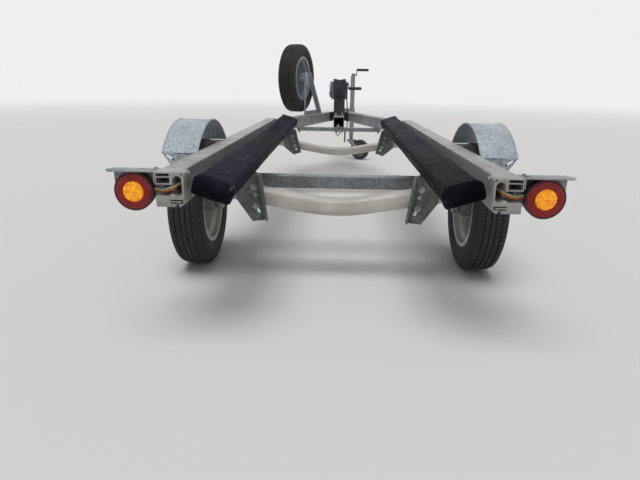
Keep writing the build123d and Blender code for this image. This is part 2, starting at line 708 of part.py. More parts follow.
def build_tyre():
    """Tyre about the X axis at the origin."""
    with BuildPart() as tyre:
        with BuildSketch(Plane.XY):
            with BuildLine():
                tyre_outline()
            make_face()
        revolve(axis=Axis.X)
    return tyre.part


wheel_pieces = (("rim", build_rim()), ("tyre", build_tyre()))
for piece_name, piece in wheel_pieces:
    with BuildPart() as wheel_piece:
        add(Pos(WHEEL_X, WHEEL_Y, WHEEL_Z) * piece)
    write_pair(wheel_piece, piece_name)

# Spare wheel, standing over the left arm with its outboard side away from the trailer
SPARE_TURN = 180 - degrees(ARM_ANGLE)
LEFT_ARM_DIRECTION = Vector(sin(ARM_ANGLE), cos(ARM_ANGLE), 0)
LEFT_ARM_ACROSS = Vector(cos(ARM_ANGLE), -sin(ARM_ANGLE), 0)
spare_on_arm = Vector(-ARM_END_X, ARM_FRONT_Y, 0) - LEFT_ARM_DIRECTION * SPARE_BACK
spare_middle = spare_on_arm - LEFT_ARM_ACROSS * SPARE_OUTBOARD + Vector(0, 0, SPARE_Z)
spare_place = Pos(spare_middle) * Rot(0, 0, SPARE_TURN)
for piece_name, piece in wheel_pieces:
    with BuildPart() as spare_piece:
        add(spare_place * piece)
    write(spare_piece, f"spare_{piece_name}")

# Spare wheel carrier: a flanged triangular frame on the arm, with a boss that reaches into the rim
CARRIER_X = TYRE_WIDTH / 2 + CARRIER_CLEARANCE
carrier_base = ARM_TOP - SPARE_Z
carrier_plane = Plane(
    origin=spare_middle + LEFT_ARM_ACROSS * CARRIER_X, x_dir=LEFT_ARM_DIRECTION, z_dir=LEFT_ARM_ACROSS
)
carrier_front = (CARRIER_FRONT, carrier_base)
carrier_apex = (CARRIER_APEX, CARRIER_HEAD)
slant_angle = atan((CARRIER_HEAD - carrier_base) / (CARRIER_FRONT - CARRIER_APEX))
slant_inset = CARRIER_SHEET / sin(slant_angle)
window_bottom = carrier_base + CARRIER_BAR
window_top = -(CARRIER_BOSS + CARRIER_BAR) / 2
window_rear = CARRIER_STRUT - CARRIER_APEX


def bar_edge(height):
    """Distance along the arm to the inner edge of the carrier's slanting bar at this height."""
    return CARRIER_FRONT - (height - carrier_base) / tan(slant_angle) - CARRIER_BAR / sin(slant_angle)


with BuildPart() as spare_carrier:
    with BuildSketch(carrier_plane):
        with BuildLine():
            Polyline(
                (-CARRIER_APEX, carrier_base),
                carrier_front,
                carrier_apex,
                (-CARRIER_APEX, CARRIER_HEAD),
                close=True,
            )
        make_face()
        with BuildLine():
            Polyline(
                (window_rear, window_bottom),
                (bar_edge(window_bottom), window_bottom),
                (bar_edge(window_top), window_top),
                (window_rear, window_top),
                close=True,
            )
        make_face(mode=Mode.SUBTRACT)
    extrude(amount=CARRIER_SHEET)
    with BuildSketch(carrier_plane):
        with BuildLine():
            Polyline(
                carrier_front,
                carrier_apex,
                (CARRIER_APEX - slant_inset, CARRIER_HEAD),
                (CARRIER_FRONT - slant_inset, carrier_base),
                close=True,
            )
        make_face()
        with BuildLine():
            Polyline(
                (-CARRIER_APEX, carrier_base),
                carrier_front,
                (CARRIER_FRONT, carrier_base + CARRIER_SHEET),
                (-CARRIER_APEX, carrier_base + CARRIER_SHEET),
                close=True,
            )
        make_face()
    extrude(amount=CARRIER_FLANGE)
    with BuildSketch(carrier_plane):
        Circle(CARRIER_BOSS / 2)
    extrude(amount=-(CARRIER_X + DISC_OFFSET - FIT))
write(spare_carrier, "spare_carrier")

# Mudguards, rolled sheet with a bead along both edges
guard_start = radians(GUARD_HALF_ANGLE)
guard_plane = Plane(
    origin=(0, WHEEL_Y, WHEEL_Z), x_dir=(1, 0, 0), z_dir=(0, -cos(guard_start), sin(guard_start))
)
with BuildPart() as mudguard:
    with BuildSketch(guard_plane):
        with Locations((GUARD_INNER_X + GUARD_WIDTH / 2, GUARD_RADIUS + GUARD_SHEET / 2)):
            Rectangle(GUARD_WIDTH - GUARD_BEAD, GUARD_SHEET)
            with GridLocations(GUARD_WIDTH - GUARD_BEAD, 0, 2, 1):
                Circle(GUARD_BEAD / 2)
    revolve(axis=hub_axis, revolution_arc=2 * GUARD_HALF_ANGLE)
write_pair(mudguard, "mudguard")

# Mudguard stays: slotted cross plates just inside both ends of a guard, each with a flange on the rail
stay_outer_offset = GUARD_RADIUS * sin(guard_start) - STAY_INSET
stay_seat_radius = GUARD_RADIUS + GUARD_SHEET / 2 - GUARD_BEAD / 2 - FIT
stay_top = WHEEL_Z + sqrt(stay_seat_radius**2 - stay_outer_offset**2)
with BuildPart() as mudguard_stays:
    for end in (-1, 1):
        stay_middle_y = WHEEL_Y + end * (stay_outer_offset - STAY_THICKNESS / 2)
        with BuildSketch(cross_plane(stay_middle_y)):
            with BuildLine():
                Polyline(
                    (RAIL_OUTER_X, stay_top),
                    (STAY_REACH, stay_top),
                    (STAY_REACH - STAY_TAPER, stay_top - STAY_DROP),
                    (RAIL_OUTER_X, stay_top - STAY_DROP),
                    close=True,
                )
            make_face()
            with Locations((STAY_REACH - STAY_SLOT_IN, stay_top - STAY_SLOT_DOWN)):
                SlotOverall(
                    STAY_SLOT_LENGTH, STAY_SLOT_WIDTH, rotation=STAY_SLOT_ANGLE, mode=Mode.SUBTRACT
                )
        extrude(amount=STAY_THICKNESS / 2, both=True)
        with BuildSketch(Plane.YZ.offset(RAIL_OUTER_X)):
            with Locations((stay_middle_y, RAIL_MIDDLE_Z)):
                RectangleRounded(STAY_FLANGE, RAIL_HEIGHT - 6, 8)
        extrude(amount=STAY_THICKNESS)
write_both(mudguard_stays, "mudguard_stays")

# Bunks, closed pads that rise a little towards the front
bunk_forward = Vector(0, BUNK_LENGTH, BUNK_RISE).normalized()
bunk_tilt = radians(BUNK_TILT)
with BuildPart() as bunk:
    bunk_plane = Plane(
        origin=(BUNK_TOP_X, ahead(BUNK_REAR_AHEAD), BUNK_TOP_Z),
        x_dir=(cos(bunk_tilt), 0, sin(bunk_tilt)),
        z_dir=-bunk_forward,
    )
    with BuildSketch(bunk_plane):
        with Locations((0, -BUNK_THICKNESS / 2)):
            RectangleRounded(BUNK_WIDTH, BUNK_THICKNESS, BUNK_CORNER)
    extrude(amount=-BUNK_LENGTH)
write_pair(bunk, "bunk")


def bunk_underside(x, distance):
    """Height of the underside of the right bunk at x, this far ahead of the rail ends."""
    rise = BUNK_RISE * distance / BUNK_LENGTH
    return BUNK_TOP_Z + rise + (x - BUNK_TOP_X) * tan(bunk_tilt) - BUNK_THICKNESS / cos(bunk_tilt)


# Bunk brackets, folded plates bolted to the rear face of each crossmember
for arch_name, arch_ahead, bracket in (
    ("rear", REAR_ARCH_AHEAD, REAR_BRACKET),
    ("front", FRONT_ARCH_AHEAD, FRONT_BRACKET),
):
    plate_ahead = arch_ahead - BRACKET_SHEET - BRACKET_FLANGE
    top_inner = (BRACKET_TOP_INNER_X, bunk_underside(BRACKET_TOP_INNER_X, plate_ahead) - FIT)
    top_outer = (BRACKET_TOP_OUTER_X, bunk_underside(BRACKET_TOP_OUTER_X, plate_ahead) - FIT)
    foot_inner = bracket["foot_inner"]
    with BuildPart() as bunk_bracket:
        with BuildSketch(cross_plane(ahead(arch_ahead))):
            with BuildLine():
                Polyline(
                    top_inner,
                    foot_inner,
                    bracket["foot_outer"],
                    bracket["elbow"],
                    top_outer,
                    close=True,
                )
            make_face()
            with Locations(bracket["slot"]):
                SlotOverall(
                    BRACKET_SLOT_LENGTH, BRACKET_SLOT_WIDTH, rotation=BRACKET_SLOT_ANGLE, mode=Mode.SUBTRACT
                )
            with Locations(*bracket["holes"]):
                Circle(BRACKET_HOLE / 2, mode=Mode.SUBTRACT)
        extrude(amount=BRACKET_SHEET)
        with BuildSketch(cross_plane(ahead(arch_ahead))):
            with BuildLine():
                Polyline(
                    top_inner,
                    foot_inner,
                    (foot_inner[0] + BRACKET_SHEET, foot_inner[1]),
                    (top_inner[0] + BRACKET_SHEET, top_inner[1]),
                    close=True,
                )
            make_face()
            with BuildLine():
                Polyline(
                    top_inner,
                    top_outer,
                    (top_outer[0], top_outer[1] - BRACKET_SHEET),
                    (top_inner[0], top_inner[1] - BRACKET_SHEET),
                    close=True,
                )
            make_face()
        extrude(amount=BRACKET_SHEET + BRACKET_FLANGE)
    write_both(bunk_bracket, f"{arch_name}_bunk_brackets")

# Lamp plates: a pointed shelf at rail height, a plate down behind the lamp and a tab on the rail
LAMP_BACK = LAMP_AHEAD + LAMP_DEPTH
with BuildPart() as lamp_plate:
    with BuildSketch(Plane.XY.offset(RAIL_TOP - LAMP_PLATE_SHEET - LAMP_SHELF_DROP)):
        with BuildLine():
            Polyline(
                (RAIL_OUTER_X, ahead(LAMP_SHELF_AHEAD)),
                (LAMP_PLATE_REACH - 20, ahead(LAMP_SHELF_AHEAD)),
                (LAMP_PLATE_REACH, ahead(LAMP_SHELF_AHEAD + LAMP_SHELF_DEPTH / 2)),
                (LAMP_PLATE_REACH - 20, ahead(LAMP_SHELF_AHEAD + LAMP_SHELF_DEPTH)),
                (RAIL_OUTER_X, ahead(LAMP_SHELF_AHEAD + LAMP_SHELF_DEPTH)),
                close=True,
            )
        make_face()
    extrude(amount=LAMP_PLATE_SHEET)
    with BuildSketch(cross_plane(ahead(LAMP_BACK + FIT))):
        with Locations((LAMP_X + 12, RAIL_TOP - LAMP_SHELF_DROP)):
            Rectangle(LAMP_DIAMETER, LAMP_PLATE_HEIGHT, align=(Align.CENTER, Align.MAX))
    extrude(amount=-LAMP_PLATE_SHEET)
    with BuildSketch(Plane.YZ.offset(RAIL_OUTER_X)):
        with Locations((ahead(LAMP_SHELF_AHEAD + LAMP_SHELF_DEPTH), RAIL_TOP - LAMP_SHELF_DROP)):
            Rectangle(LAMP_TAB_LENGTH, LAMP_PLATE_HEIGHT, align=(Align.MIN, Align.MAX))
    extrude(amount=LAMP_PLATE_SHEET)
    with BuildSketch(cross_plane(ahead(LAMP_SHELF_AHEAD + LAMP_SHELF_DEPTH))):
        with Locations((RAIL_OUTER_X, RAIL_TOP - LAMP_SHELF_DROP)):
            Rectangle(LAMP_TAB_FOLD, LAMP_PLATE_HEIGHT, align=(Align.MIN, Align.MAX))
    extrude(amount=-LAMP_PLATE_SHEET)
write_both(lamp_plate, "lamp_plates")


def build_lamp_part(outline):
    """A piece of the right lamp turned about its axis, from radius and distance ahead of the rail ends."""
    with BuildPart() as turned:
        with BuildSketch(Plane.XY.offset(LAMP_Z)):
            with BuildLine():
                Polyline(*[(LAMP_X + radius, ahead(distance)) for radius, distance in outline], close=True)
            make_face()
        revolve(axis=Axis((LAMP_X, 0, LAMP_Z), (0, 1, 0)))
    return turned


lamp_rim = LAMP_DIAMETER / 2
lens_rim = LAMP_LENS_DIAMETER / 2
amber_rim = LAMP_AMBER_DIAMETER / 2
lamp_seat = LAMP_AHEAD + 8
# Columns: radius, distance ahead of the rail ends
lamp_housing_outline = (
    (0, lamp_seat), (lens_rim + FIT, lamp_seat), (lens_rim + FIT, LAMP_AHEAD + 1),
    (lamp_rim - 1, LAMP_AHEAD), (lamp_rim, LAMP_AHEAD + 3), (lamp_rim - 2, LAMP_BACK - 10),
    (lamp_rim - 12, LAMP_BACK), (0, LAMP_BACK),
)
lamp_ring_outline = (
    (amber_rim + FIT, lamp_seat - FIT), (lens_rim, lamp_seat - FIT), (lens_rim, LAMP_AHEAD + 1),
    (amber_rim + 8, LAMP_AHEAD - 5), (amber_rim + FIT, LAMP_AHEAD - 3),
)
lamp_centre_outline = (
    (0, lamp_seat - FIT), (amber_rim, lamp_seat - FIT), (amber_rim, LAMP_AHEAD - 3),
    (amber_rim - 4, LAMP_AHEAD - 7), (0, LAMP_AHEAD - 9),
)
for lamp_name, lamp_outline in (
    ("lamp_housings", lamp_housing_outline),
    ("lamp_red_lenses", lamp_ring_outline),
    ("lamp_amber_lenses", lamp_centre_outline),
):
    write_both(build_lamp_part(lamp_outline), lamp_name)

# Winch post, a folded channel on a foot
with BuildPart() as winch_post:
    with BuildSketch(Plane.XY.offset(DRAWBAR_TOP)):
        with Locations((0, ahead(POST_AHEAD))):
            Rectangle(POST_WIDTH, POST_DEPTH, align=(Align.CENTER, Align.MIN))
        with Locations((0, ahead(POST_AHEAD) + POST_SHEET)):
            Rectangle(
                POST_WIDTH - 2 * POST_SHEET, POST_DEPTH, align=(Align.CENTER, Align.MIN), mode=Mode.SUBTRACT
            )
    extrude(amount=POST_TOP - DRAWBAR_TOP)
    with BuildSketch(Plane.XY.offset(DRAWBAR_TOP)):
        with Locations((0, ahead(POST_AHEAD) - POST_FOOT)):
            Rectangle(POST_WIDTH, POST_DEPTH + 2 * POST_FOOT, align=(Align.CENTER, Align.MIN))
    extrude(amount=POST_SHEET)
write(winch_post, "winch_post")

# Bow stop, a block with an upright groove for the stem
bow_rear = ahead(POST_AHEAD) - FIT - BOW_STOP_DEPTH
bow_half = BOW_STOP_WIDTH / 2
with BuildPart() as bow_stop:
    with BuildSketch(Plane.XY.offset(BOW_STOP_TOP - BOW_STOP_HEIGHT)):
        with BuildLine():
            Polyline(
                (-bow_half, bow_rear + BOW_STOP_DEPTH),
                (bow_half, bow_rear + BOW_STOP_DEPTH),
                (bow_half, bow_rear + 8),
                (bow_half - 8, bow_rear),
                (0, bow_rear + BOW_GROOVE_DEPTH),
                (-bow_half + 8, bow_rear),
                (-bow_half, bow_rear + 8),
                close=True,
            )
        make_face()
    extrude(amount=BOW_STOP_HEIGHT)
    with BuildSketch(cross_plane(bow_rear)):
        with BuildLine():
            Polyline(
                (-bow_half, BOW_STOP_TOP),
                (0, BOW_STOP_TOP - BOW_TOP_DIP),
                (bow_half, BOW_STOP_TOP),
                (bow_half, BOW_STOP_TOP - BOW_STOP_HEIGHT * 0.7),
                (bow_half - BOW_STOP_TAPER, BOW_STOP_TOP - BOW_STOP_HEIGHT),
                (-bow_half + BOW_STOP_TAPER, BOW_STOP_TOP - BOW_STOP_HEIGHT),
                (-bow_half, BOW_STOP_TOP - BOW_STOP_HEIGHT * 0.7),
                close=True,
            )
        make_face()
    extrude(amount=-BOW_STOP_DEPTH, mode=Mode.INTERSECT)
write(bow_stop, "bow_stop")

# Winch frame, a U of sheet with the gear case on its left side
WINCH_BACK = ahead(POST_AHEAD) + POST_DEPTH
winch_half = WINCH_WIDTH / 2
drum_y = ahead(WINCH_AXIS_AHEAD)
crank_y = ahead(CRANK_AXIS_AHEAD)
with BuildPart() as winch_frame:
    with BuildSketch(cross_plane(WINCH_BACK)):
        with Locations((0, (WINCH_TOP + WINCH_BOTTOM) / 2)):
            Rectangle(WINCH_WIDTH, WINCH_TOP - WINCH_BOTTOM)
    extrude(amount=-WINCH_SHEET)
    for side_x in (-winch_half, winch_half - WINCH_SHEET):
        with BuildSketch(Plane.YZ.offset(side_x)) as side_plate:
            with BuildLine():
                Polyline(
                    (WINCH_BACK, WINCH_BOTTOM),
                    (WINCH_BACK + WINCH_FOOT, WINCH_BOTTOM),
                    (WINCH_BACK + WINCH_REACH, WINCH_BOTTOM + WINCH_RAKE),
                    (WINCH_BACK + WINCH_REACH, WINCH_TOP),
                    (WINCH_BACK, WINCH_TOP),
                    close=True,
                )
            make_face()
            fillet(side_plate.vertices().group_by(Axis.X)[-1], 14)
        extrude(amount=WINCH_SHEET)
    with BuildSketch(Plane.YZ.offset(-winch_half - GEAR_CASE)):
        with BuildSketch(mode=Mode.PRIVATE) as case_ends:
            with Locations((drum_y, WINCH_AXIS_Z)):
                Circle(GEAR_CASE_RADIUS)
            with Locations((crank_y, CRANK_AXIS_Z)):
                Circle(GEAR_CASE_SMALL)
        add(make_hull(case_ends.sketch.edges(), mode=Mode.PRIVATE))
    extrude(amount=GEAR_CASE)
    with BuildSketch(Plane.YZ.offset(-winch_half - GEAR_CASE / 2)):
        with Locations((drum_y, WINCH_AXIS_Z)):
            Circle(DRUM_AXLE / 2 + RUNNING)
        with Locations((crank_y, CRANK_AXIS_Z)):
            Circle(CRANK_SHAFT / 2 + RUNNING)
    extrude(amount=WINCH_WIDTH + GEAR_CASE, mode=Mode.SUBTRACT)
write(winch_frame, "winch_frame")

# Winch drum and the strap wound on it
drum_plane = Plane(origin=(0, drum_y, WINCH_AXIS_Z), x_dir=(1, 0, 0), z_dir=(0, -1, 0))
drum_axis = Axis((0, drum_y, WINCH_AXIS_Z), (1, 0, 0))
drum_edge = winch_half - WINCH_SHEET - 6
drum_inner = drum_edge - 3
with BuildPart() as winch_drum:
    with BuildSketch(drum_plane):
        with BuildLine():
            Polyline(
                (-drum_edge, 0), (-drum_edge, DRUM_FLANGE / 2), (-drum_inner, DRUM_FLANGE / 2),
                (-drum_inner, DRUM_DIAMETER / 2), (drum_inner, DRUM_DIAMETER / 2),
                (drum_inner, DRUM_FLANGE / 2), (drum_edge, DRUM_FLANGE / 2), (drum_edge, 0), close=True,
            )
        make_face()
    revolve(axis=drum_axis)
    with BuildSketch(Plane.YZ.offset(-winch_half)):
        with Locations((drum_y, WINCH_AXIS_Z)):
            Circle(DRUM_AXLE / 2)
    extrude(amount=WINCH_WIDTH)
write(winch_drum, "winch_drum")
strap_build_up = (STRAP_COIL_DIAMETER - DRUM_DIAMETER) / 2
with BuildPart() as winch_strap:
    with BuildSketch(drum_plane):
        with Locations((0, DRUM_DIAMETER / 2 + FIT)):
            Rectangle(STRAP_WIDTH, strap_build_up, align=(Align.CENTER, Align.MIN))
    revolve(axis=drum_axis)
write(winch_strap, "winch_strap")

# Winch crank, arm pointing forward and a little down, and its grip
crank_angle = -atan(CRANK_DROP / CRANK_LENGTH)
crank_reach = Vector(0, CRANK_LENGTH * cos(crank_angle), CRANK_LENGTH * sin(crank_angle))
crank_end = Vector(0, crank_y, CRANK_AXIS_Z) + crank_reach
CRANK_ARM_X = winch_half + CRANK_CLEARANCE
with BuildPart() as winch_crank:
    with BuildSketch(Plane.YZ.offset(-winch_half - GEAR_CASE / 2)):
        with Locations((crank_y, CRANK_AXIS_Z)):
            Circle(CRANK_SHAFT / 2)
    extrude(amount=CRANK_ARM_X + winch_half + GEAR_CASE / 2)
    with BuildSketch(Plane.YZ.offset(CRANK_ARM_X)):
        with BuildSketch(mode=Mode.PRIVATE) as crank_ends:
            with Locations((crank_y, CRANK_AXIS_Z)):
                Circle(15)
            with Locations((crank_end.Y, crank_end.Z)):
                Circle(11)
        add(make_hull(crank_ends.sketch.edges(), mode=Mode.PRIVATE))
    extrude(amount=CRANK_THICKNESS)
    with BuildSketch(Plane.YZ.offset(CRANK_ARM_X + CRANK_THICKNESS)):
        with Locations((crank_end.Y, crank_end.Z)):
            Circle(GRIP_PIN / 2)
    extrude(amount=GRIP_LENGTH - 8)
write(winch_crank, "winch_crank")
with BuildPart() as winch_grip:
    with BuildSketch(Plane.YZ.offset(CRANK_ARM_X + CRANK_THICKNESS + FIT)):
        with Locations((crank_end.Y, crank_end.Z)):
            Circle(GRIP_DIAMETER / 2)
    extrude(amount=GRIP_LENGTH)
    chamfer(winch_grip.edges().filter_by(GeomType.CIRCLE), GRIP_CORNER)
    with BuildSketch(Plane.YZ.offset(CRANK_ARM_X + CRANK_THICKNESS)):
        with Locations((crank_end.Y, crank_end.Z)):
            Circle(GRIP_PIN / 2 + FIT)
    extrude(amount=GRIP_LENGTH - 8 + FIT, mode=Mode.SUBTRACT)
write(winch_grip, "winch_grip")

# Jockey wheel clamp on the right of the drawbar
jockey_y = ahead(JOCKEY_AHEAD)
jockey_spot = (JOCKEY_X, jockey_y)
with BuildPart() as jockey_clamp:
    with BuildSketch(Plane.XY.offset(JOCKEY_CLAMP_Z)):
        with Locations((DRAWBAR_WIDTH / 2, jockey_y)):
            Rectangle(JOCKEY_X - DRAWBAR_WIDTH / 2, JOCKEY_CLAMP_WIDTH, align=(Align.MIN, Align.CENTER))
        with Locations(jockey_spot):
            Circle(JOCKEY_TUBE / 2 + JOCKEY_CLAMP_WALL)
            Circle(JOCKEY_TUBE / 2 + FIT, mode=Mode.SUBTRACT)
    extrude(amount=JOCKEY_CLAMP_HEIGHT)
    with BuildSketch(Plane.YZ.offset(DRAWBAR_WIDTH / 2)):
        with Locations((jockey_y, RAIL_BOTTOM + DRAWBAR_HEIGHT / 2)):
            RectangleRounded(JOCKEY_CLAMP_WIDTH * 2.4, DRAWBAR_HEIGHT - 10, 8)
    extrude(amount=JOCKEY_CLAMP_WALL)
write(jockey_clamp, "jockey_clamp")

# Jockey outer tube with its head
with BuildPart() as jockey_tube:
    with BuildSketch(Plane.XY.offset(JOCKEY_TUBE_BOTTOM)):
        with Locations(jockey_spot):
            Circle(JOCKEY_TUBE / 2)
            Circle(JOCKEY_TUBE / 2 - JOCKEY_TUBE_WALL, mode=Mode.SUBTRACT)
    extrude(amount=JOCKEY_TUBE_TOP - JOCKEY_TUBE_BOTTOM)
    with BuildSketch(Plane.XY.offset(JOCKEY_TUBE_TOP - 8)):
        with Locations(jockey_spot):
            Circle(JOCKEY_TUBE / 2 - JOCKEY_TUBE_WALL / 2)
    extrude(amount=8)
write(jockey_tube, "jockey_tube")

# Jockey crank and its grip
crank_post_x = JOCKEY_X + JOCKEY_TUBE / 2 + 10
with BuildPart() as jockey_crank:
    with BuildSketch(Plane.YZ.offset(JOCKEY_X)):
        with Locations((jockey_y, JOCKEY_TUBE_TOP + 12)):
            Circle(9)
    extrude(amount=JOCKEY_TUBE / 2 + 18)
    with BuildSketch(Plane.XY.offset(JOCKEY_TUBE_TOP)):
        with Locations(jockey_spot):
            Circle(15)
    extrude(amount=24)
    with BuildSketch(Plane.YZ.offset(crank_post_x)):
        with BuildSketch(mode=Mode.PRIVATE) as post_ends:
            with Locations((jockey_y, JOCKEY_TUBE_TOP + 12)):
                Circle(11)
            with Locations((jockey_y, JOCKEY_GRIP_Z)):
                Circle(9)
        add(make_hull(post_ends.sketch.edges(), mode=Mode.PRIVATE))
    extrude(amount=8)
    with BuildSketch(Plane.YZ.offset(crank_post_x)):
        with Locations((jockey_y, JOCKEY_GRIP_Z)):
            Circle(GRIP_PIN / 2)
    extrude(amount=GRIP_LENGTH)
write(jockey_crank, "jockey_crank")
with BuildPart() as jockey_grip:
    with BuildSketch(Plane.YZ.offset(crank_post_x + 8 + FIT)):
        with Locations((jockey_y, JOCKEY_GRIP_Z)):
            Circle(GRIP_DIAMETER / 2 - 1)
    extrude(amount=GRIP_LENGTH)
    chamfer(jockey_grip.edges().filter_by(GeomType.CIRCLE), GRIP_CORNER)
    with BuildSketch(Plane.YZ.offset(crank_post_x)):
        with Locations((jockey_y, JOCKEY_GRIP_Z)):
            Circle(GRIP_PIN / 2 + FIT)
    extrude(amount=GRIP_LENGTH + FIT, mode=Mode.SUBTRACT)
write(jockey_grip, "jockey_grip")

# Jockey leg that slides in the tube, with the king pin and its nut that hold the fork
LEG_BOTTOM = FORK_CROWN_Z + FORK_CROWN + FIT
king_pin_bottom = FORK_CROWN_Z - KING_PIN_REACH
with BuildPart() as jockey_leg:
    with BuildSketch(Plane.XY.offset(LEG_BOTTOM)):
        with Locations(jockey_spot):
            Circle(JOCKEY_LEG / 2)
    extrude(amount=JOCKEY_LEG_TOP - LEG_BOTTOM)
    with BuildSketch(Plane.XY.offset(king_pin_bottom)):
        with Locations(jockey_spot):
            Circle(KING_PIN / 2)
    extrude(amount=LEG_BOTTOM - king_pin_bottom)
    with BuildSketch(Plane.XY.offset(FORK_CROWN_Z - FIT)):
        with Locations(jockey_spot):
            RegularPolygon(KING_NUT / 2, 6)
    extrude(amount=-KING_NUT_HEIGHT)
write(jockey_leg, "jockey_leg")

# Jockey fork, trailing behind the king pin
trail_angle = radians(JOCKEY_TURN)
trail = Vector(sin(trail_angle), -cos(trail_angle), 0)
roller_axle = Vector(cos(trail_angle), sin(trail_angle), 0)
roller_middle = Vector(JOCKEY_X, jockey_y, JOCKEY_WHEEL_DIAMETER / 2) + trail * JOCKEY_TRAIL
fork_inner = JOCKEY_WHEEL_WIDTH / 2 + FORK_GAP
fork_outer = fork_inner + FORK_PLATE
crown_half = JOCKEY_LEG / 2 + 10
fork_plane = Plane(origin=(JOCKEY_X, jockey_y, 0), x_dir=trail, z_dir=-roller_axle)
with BuildPart() as jockey_fork:
    for plate_start in (-fork_outer, fork_inner):
        with BuildSketch(fork_plane.offset(plate_start)):
            with BuildSketch(mode=Mode.PRIVATE) as plate_ends:
                with Locations((JOCKEY_TRAIL, JOCKEY_WHEEL_DIAMETER / 2)):
                    Circle(17)
                with Locations((0, FORK_CROWN_Z + FORK_CROWN / 2)):
                    Rectangle(2 * crown_half, FORK_CROWN)
            add(make_hull(plate_ends.sketch.edges(), mode=Mode.PRIVATE))
        extrude(amount=FORK_PLATE)
    with BuildSketch(fork_plane.offset(-fork_inner)):
        with Locations((0, FORK_CROWN_Z + FORK_CROWN / 2)):
            Rectangle(2 * crown_half, FORK_CROWN)
    extrude(amount=2 * fork_inner)
    with BuildSketch(fork_plane.offset(-fork_outer)):
        with Locations((JOCKEY_TRAIL, JOCKEY_WHEEL_DIAMETER / 2)):
            Circle(ROLLER_PIN / 2)
    extrude(amount=2 * fork_outer)
    with BuildSketch(Plane.XY.offset(FORK_CROWN_Z)):
        with Locations(jockey_spot):
            Circle(KING_PIN / 2 + RUNNING)
    extrude(amount=FORK_CROWN, mode=Mode.SUBTRACT)
write(jockey_fork, "jockey_fork")

# Jockey wheel: a rim with a solid tyre
roller_rim = JOCKEY_WHEEL_DIAMETER / 2 - 34
for roller_name, roller_outline in (
    (
        "jockey_rim",
        (
            (-24, ROLLER_PIN / 2 + RUNNING), (24, ROLLER_PIN / 2 + RUNNING), (24, 22), (7, 26),
            (7, roller_rim - 10), (24, roller_rim - 6), (24, roller_rim), (-24, roller_rim),
            (-24, roller_rim - 6), (-7, roller_rim - 10), (-7, 26), (-24, 22),
        ),
    ),
    (
        "jockey_tyre",
        (
            (-22, roller_rim + FIT), (22, roller_rim + FIT), (30, roller_rim + 12), (28, roller_rim + 25),
            (17, roller_rim + 34), (-17, roller_rim + 34), (-28, roller_rim + 25), (-30, roller_rim + 12),
        ),
    ),
):
    with BuildPart() as roller:
        with BuildSketch(Plane(origin=roller_middle, x_dir=roller_axle, z_dir=trail)):
            with BuildLine():
                Polyline(*roller_outline, close=True)
            make_face()
        revolve(axis=Axis(roller_middle, roller_axle))
    write(roller, roller_name)

# Coupling: a sleeve over the drawbar, a tapering neck and a head with the ball socket
nose_y = REAR_Y + TRAILER_LENGTH
ball_y = nose_y - BALL_BACK
drawbar_front_y = ahead(DRAWBAR_FRONT_AHEAD)
sleeve_half = DRAWBAR_WIDTH / 2 + COUPLING_SHEET
with BuildPart() as coupling:
    with BuildSketch(cross_plane(drawbar_front_y - COUPLING_SLEEVE)):
        with Locations((0, RAIL_BOTTOM + DRAWBAR_HEIGHT / 2)):
            Rectangle(2 * sleeve_half, DRAWBAR_HEIGHT + 2 * COUPLING_SHEET)
            RectangleRounded(DRAWBAR_WIDTH, DRAWBAR_HEIGHT, SLEEVE_CORNER, mode=Mode.SUBTRACT)
    extrude(amount=-COUPLING_SLEEVE)
    with BuildSketch(Plane.XY.offset(BALL_Z - COUPLING_SKIRT)):
        with BuildLine():
            Polyline(
                (-sleeve_half, drawbar_front_y),
                (sleeve_half, drawbar_front_y),
                (sleeve_half, drawbar_front_y + 14),
                (BALL_BACK - 6, ball_y - 10),
                (-BALL_BACK + 6, ball_y - 10),
                (-sleeve_half, drawbar_front_y + 14),
                close=True,
            )
        make_face()
        with Locations((0, ball_y)):
            Circle(BALL_BACK)
    extrude(amount=COUPLING_HEIGHT)
    with Locations((0, ball_y, BALL_Z)):
        Sphere(BALL_DIAMETER / 2 + RUNNING, mode=Mode.SUBTRACT)
    with BuildSketch(Plane.XY.offset(BALL_Z - COUPLING_SKIRT)):
        with Locations((0, ball_y)):
            Circle(BALL_DIAMETER / 2 + RUNNING)
    extrude(amount=COUPLING_SKIRT, mode=Mode.SUBTRACT)
write(coupling, "coupling")
with BuildPart() as coupling_handle:
    handle_z = BALL_Z - COUPLING_SKIRT + COUPLING_HEIGHT
    with BuildSketch(Plane.YZ.offset(-HANDLE_WIDTH / 2)):
        with BuildLine():
            Polyline(
                (ball_y + 18, handle_z + FIT),
                (ball_y + 22, handle_z + 16),
                (ball_y - 20, handle_z + 34),
                (ball_y - HANDLE_LENGTH, handle_z + HANDLE_RISE),
                (ball_y - HANDLE_LENGTH - 4, handle_z + HANDLE_RISE - HANDLE_BAR),
                (ball_y - 34, handle_z + 22),
                (ball_y - 40, handle_z + FIT),
                close=True,
            )
        make_face()
    extrude(amount=HANDLE_WIDTH)
write(coupling_handle, "coupling_handle")


def bend_radii(points):
    """Radius of the bend at each inner point of a cord, as large as the shorter of its two runs allows."""
    radii = []
    for before, point, after in zip(points, points[1:], points[2:]):
        arriving = point - before
        leaving = after - point
        half_turn = radians(arriving.get_angle(leaving)) / 2
        radii.append(0.45 * min(arriving.length, leaving.length) / tan(half_turn))
    return radii


def build_cord(name, points, diameter):
    """Tube of a cord along straight runs joined by tangent arcs."""
    radii = bend_radii(points)
    with BuildPart() as cord:
        with BuildLine() as route:
            FilletPolyline(*points, radius=radii)
        with BuildSketch(Plane(origin=points[0], z_dir=points[1] - points[0])):
            Circle(diameter / 2)
        sweep()
    length = route.wires()[0].length
    volume_ratio = cord.part.volume / (length * pi * diameter**2 / 4)
    print(name, "bends", [round(radius) for radius in radii])
    print(name, "length", round(length), "volume ratio", round(volume_ratio, 4))
    return cord


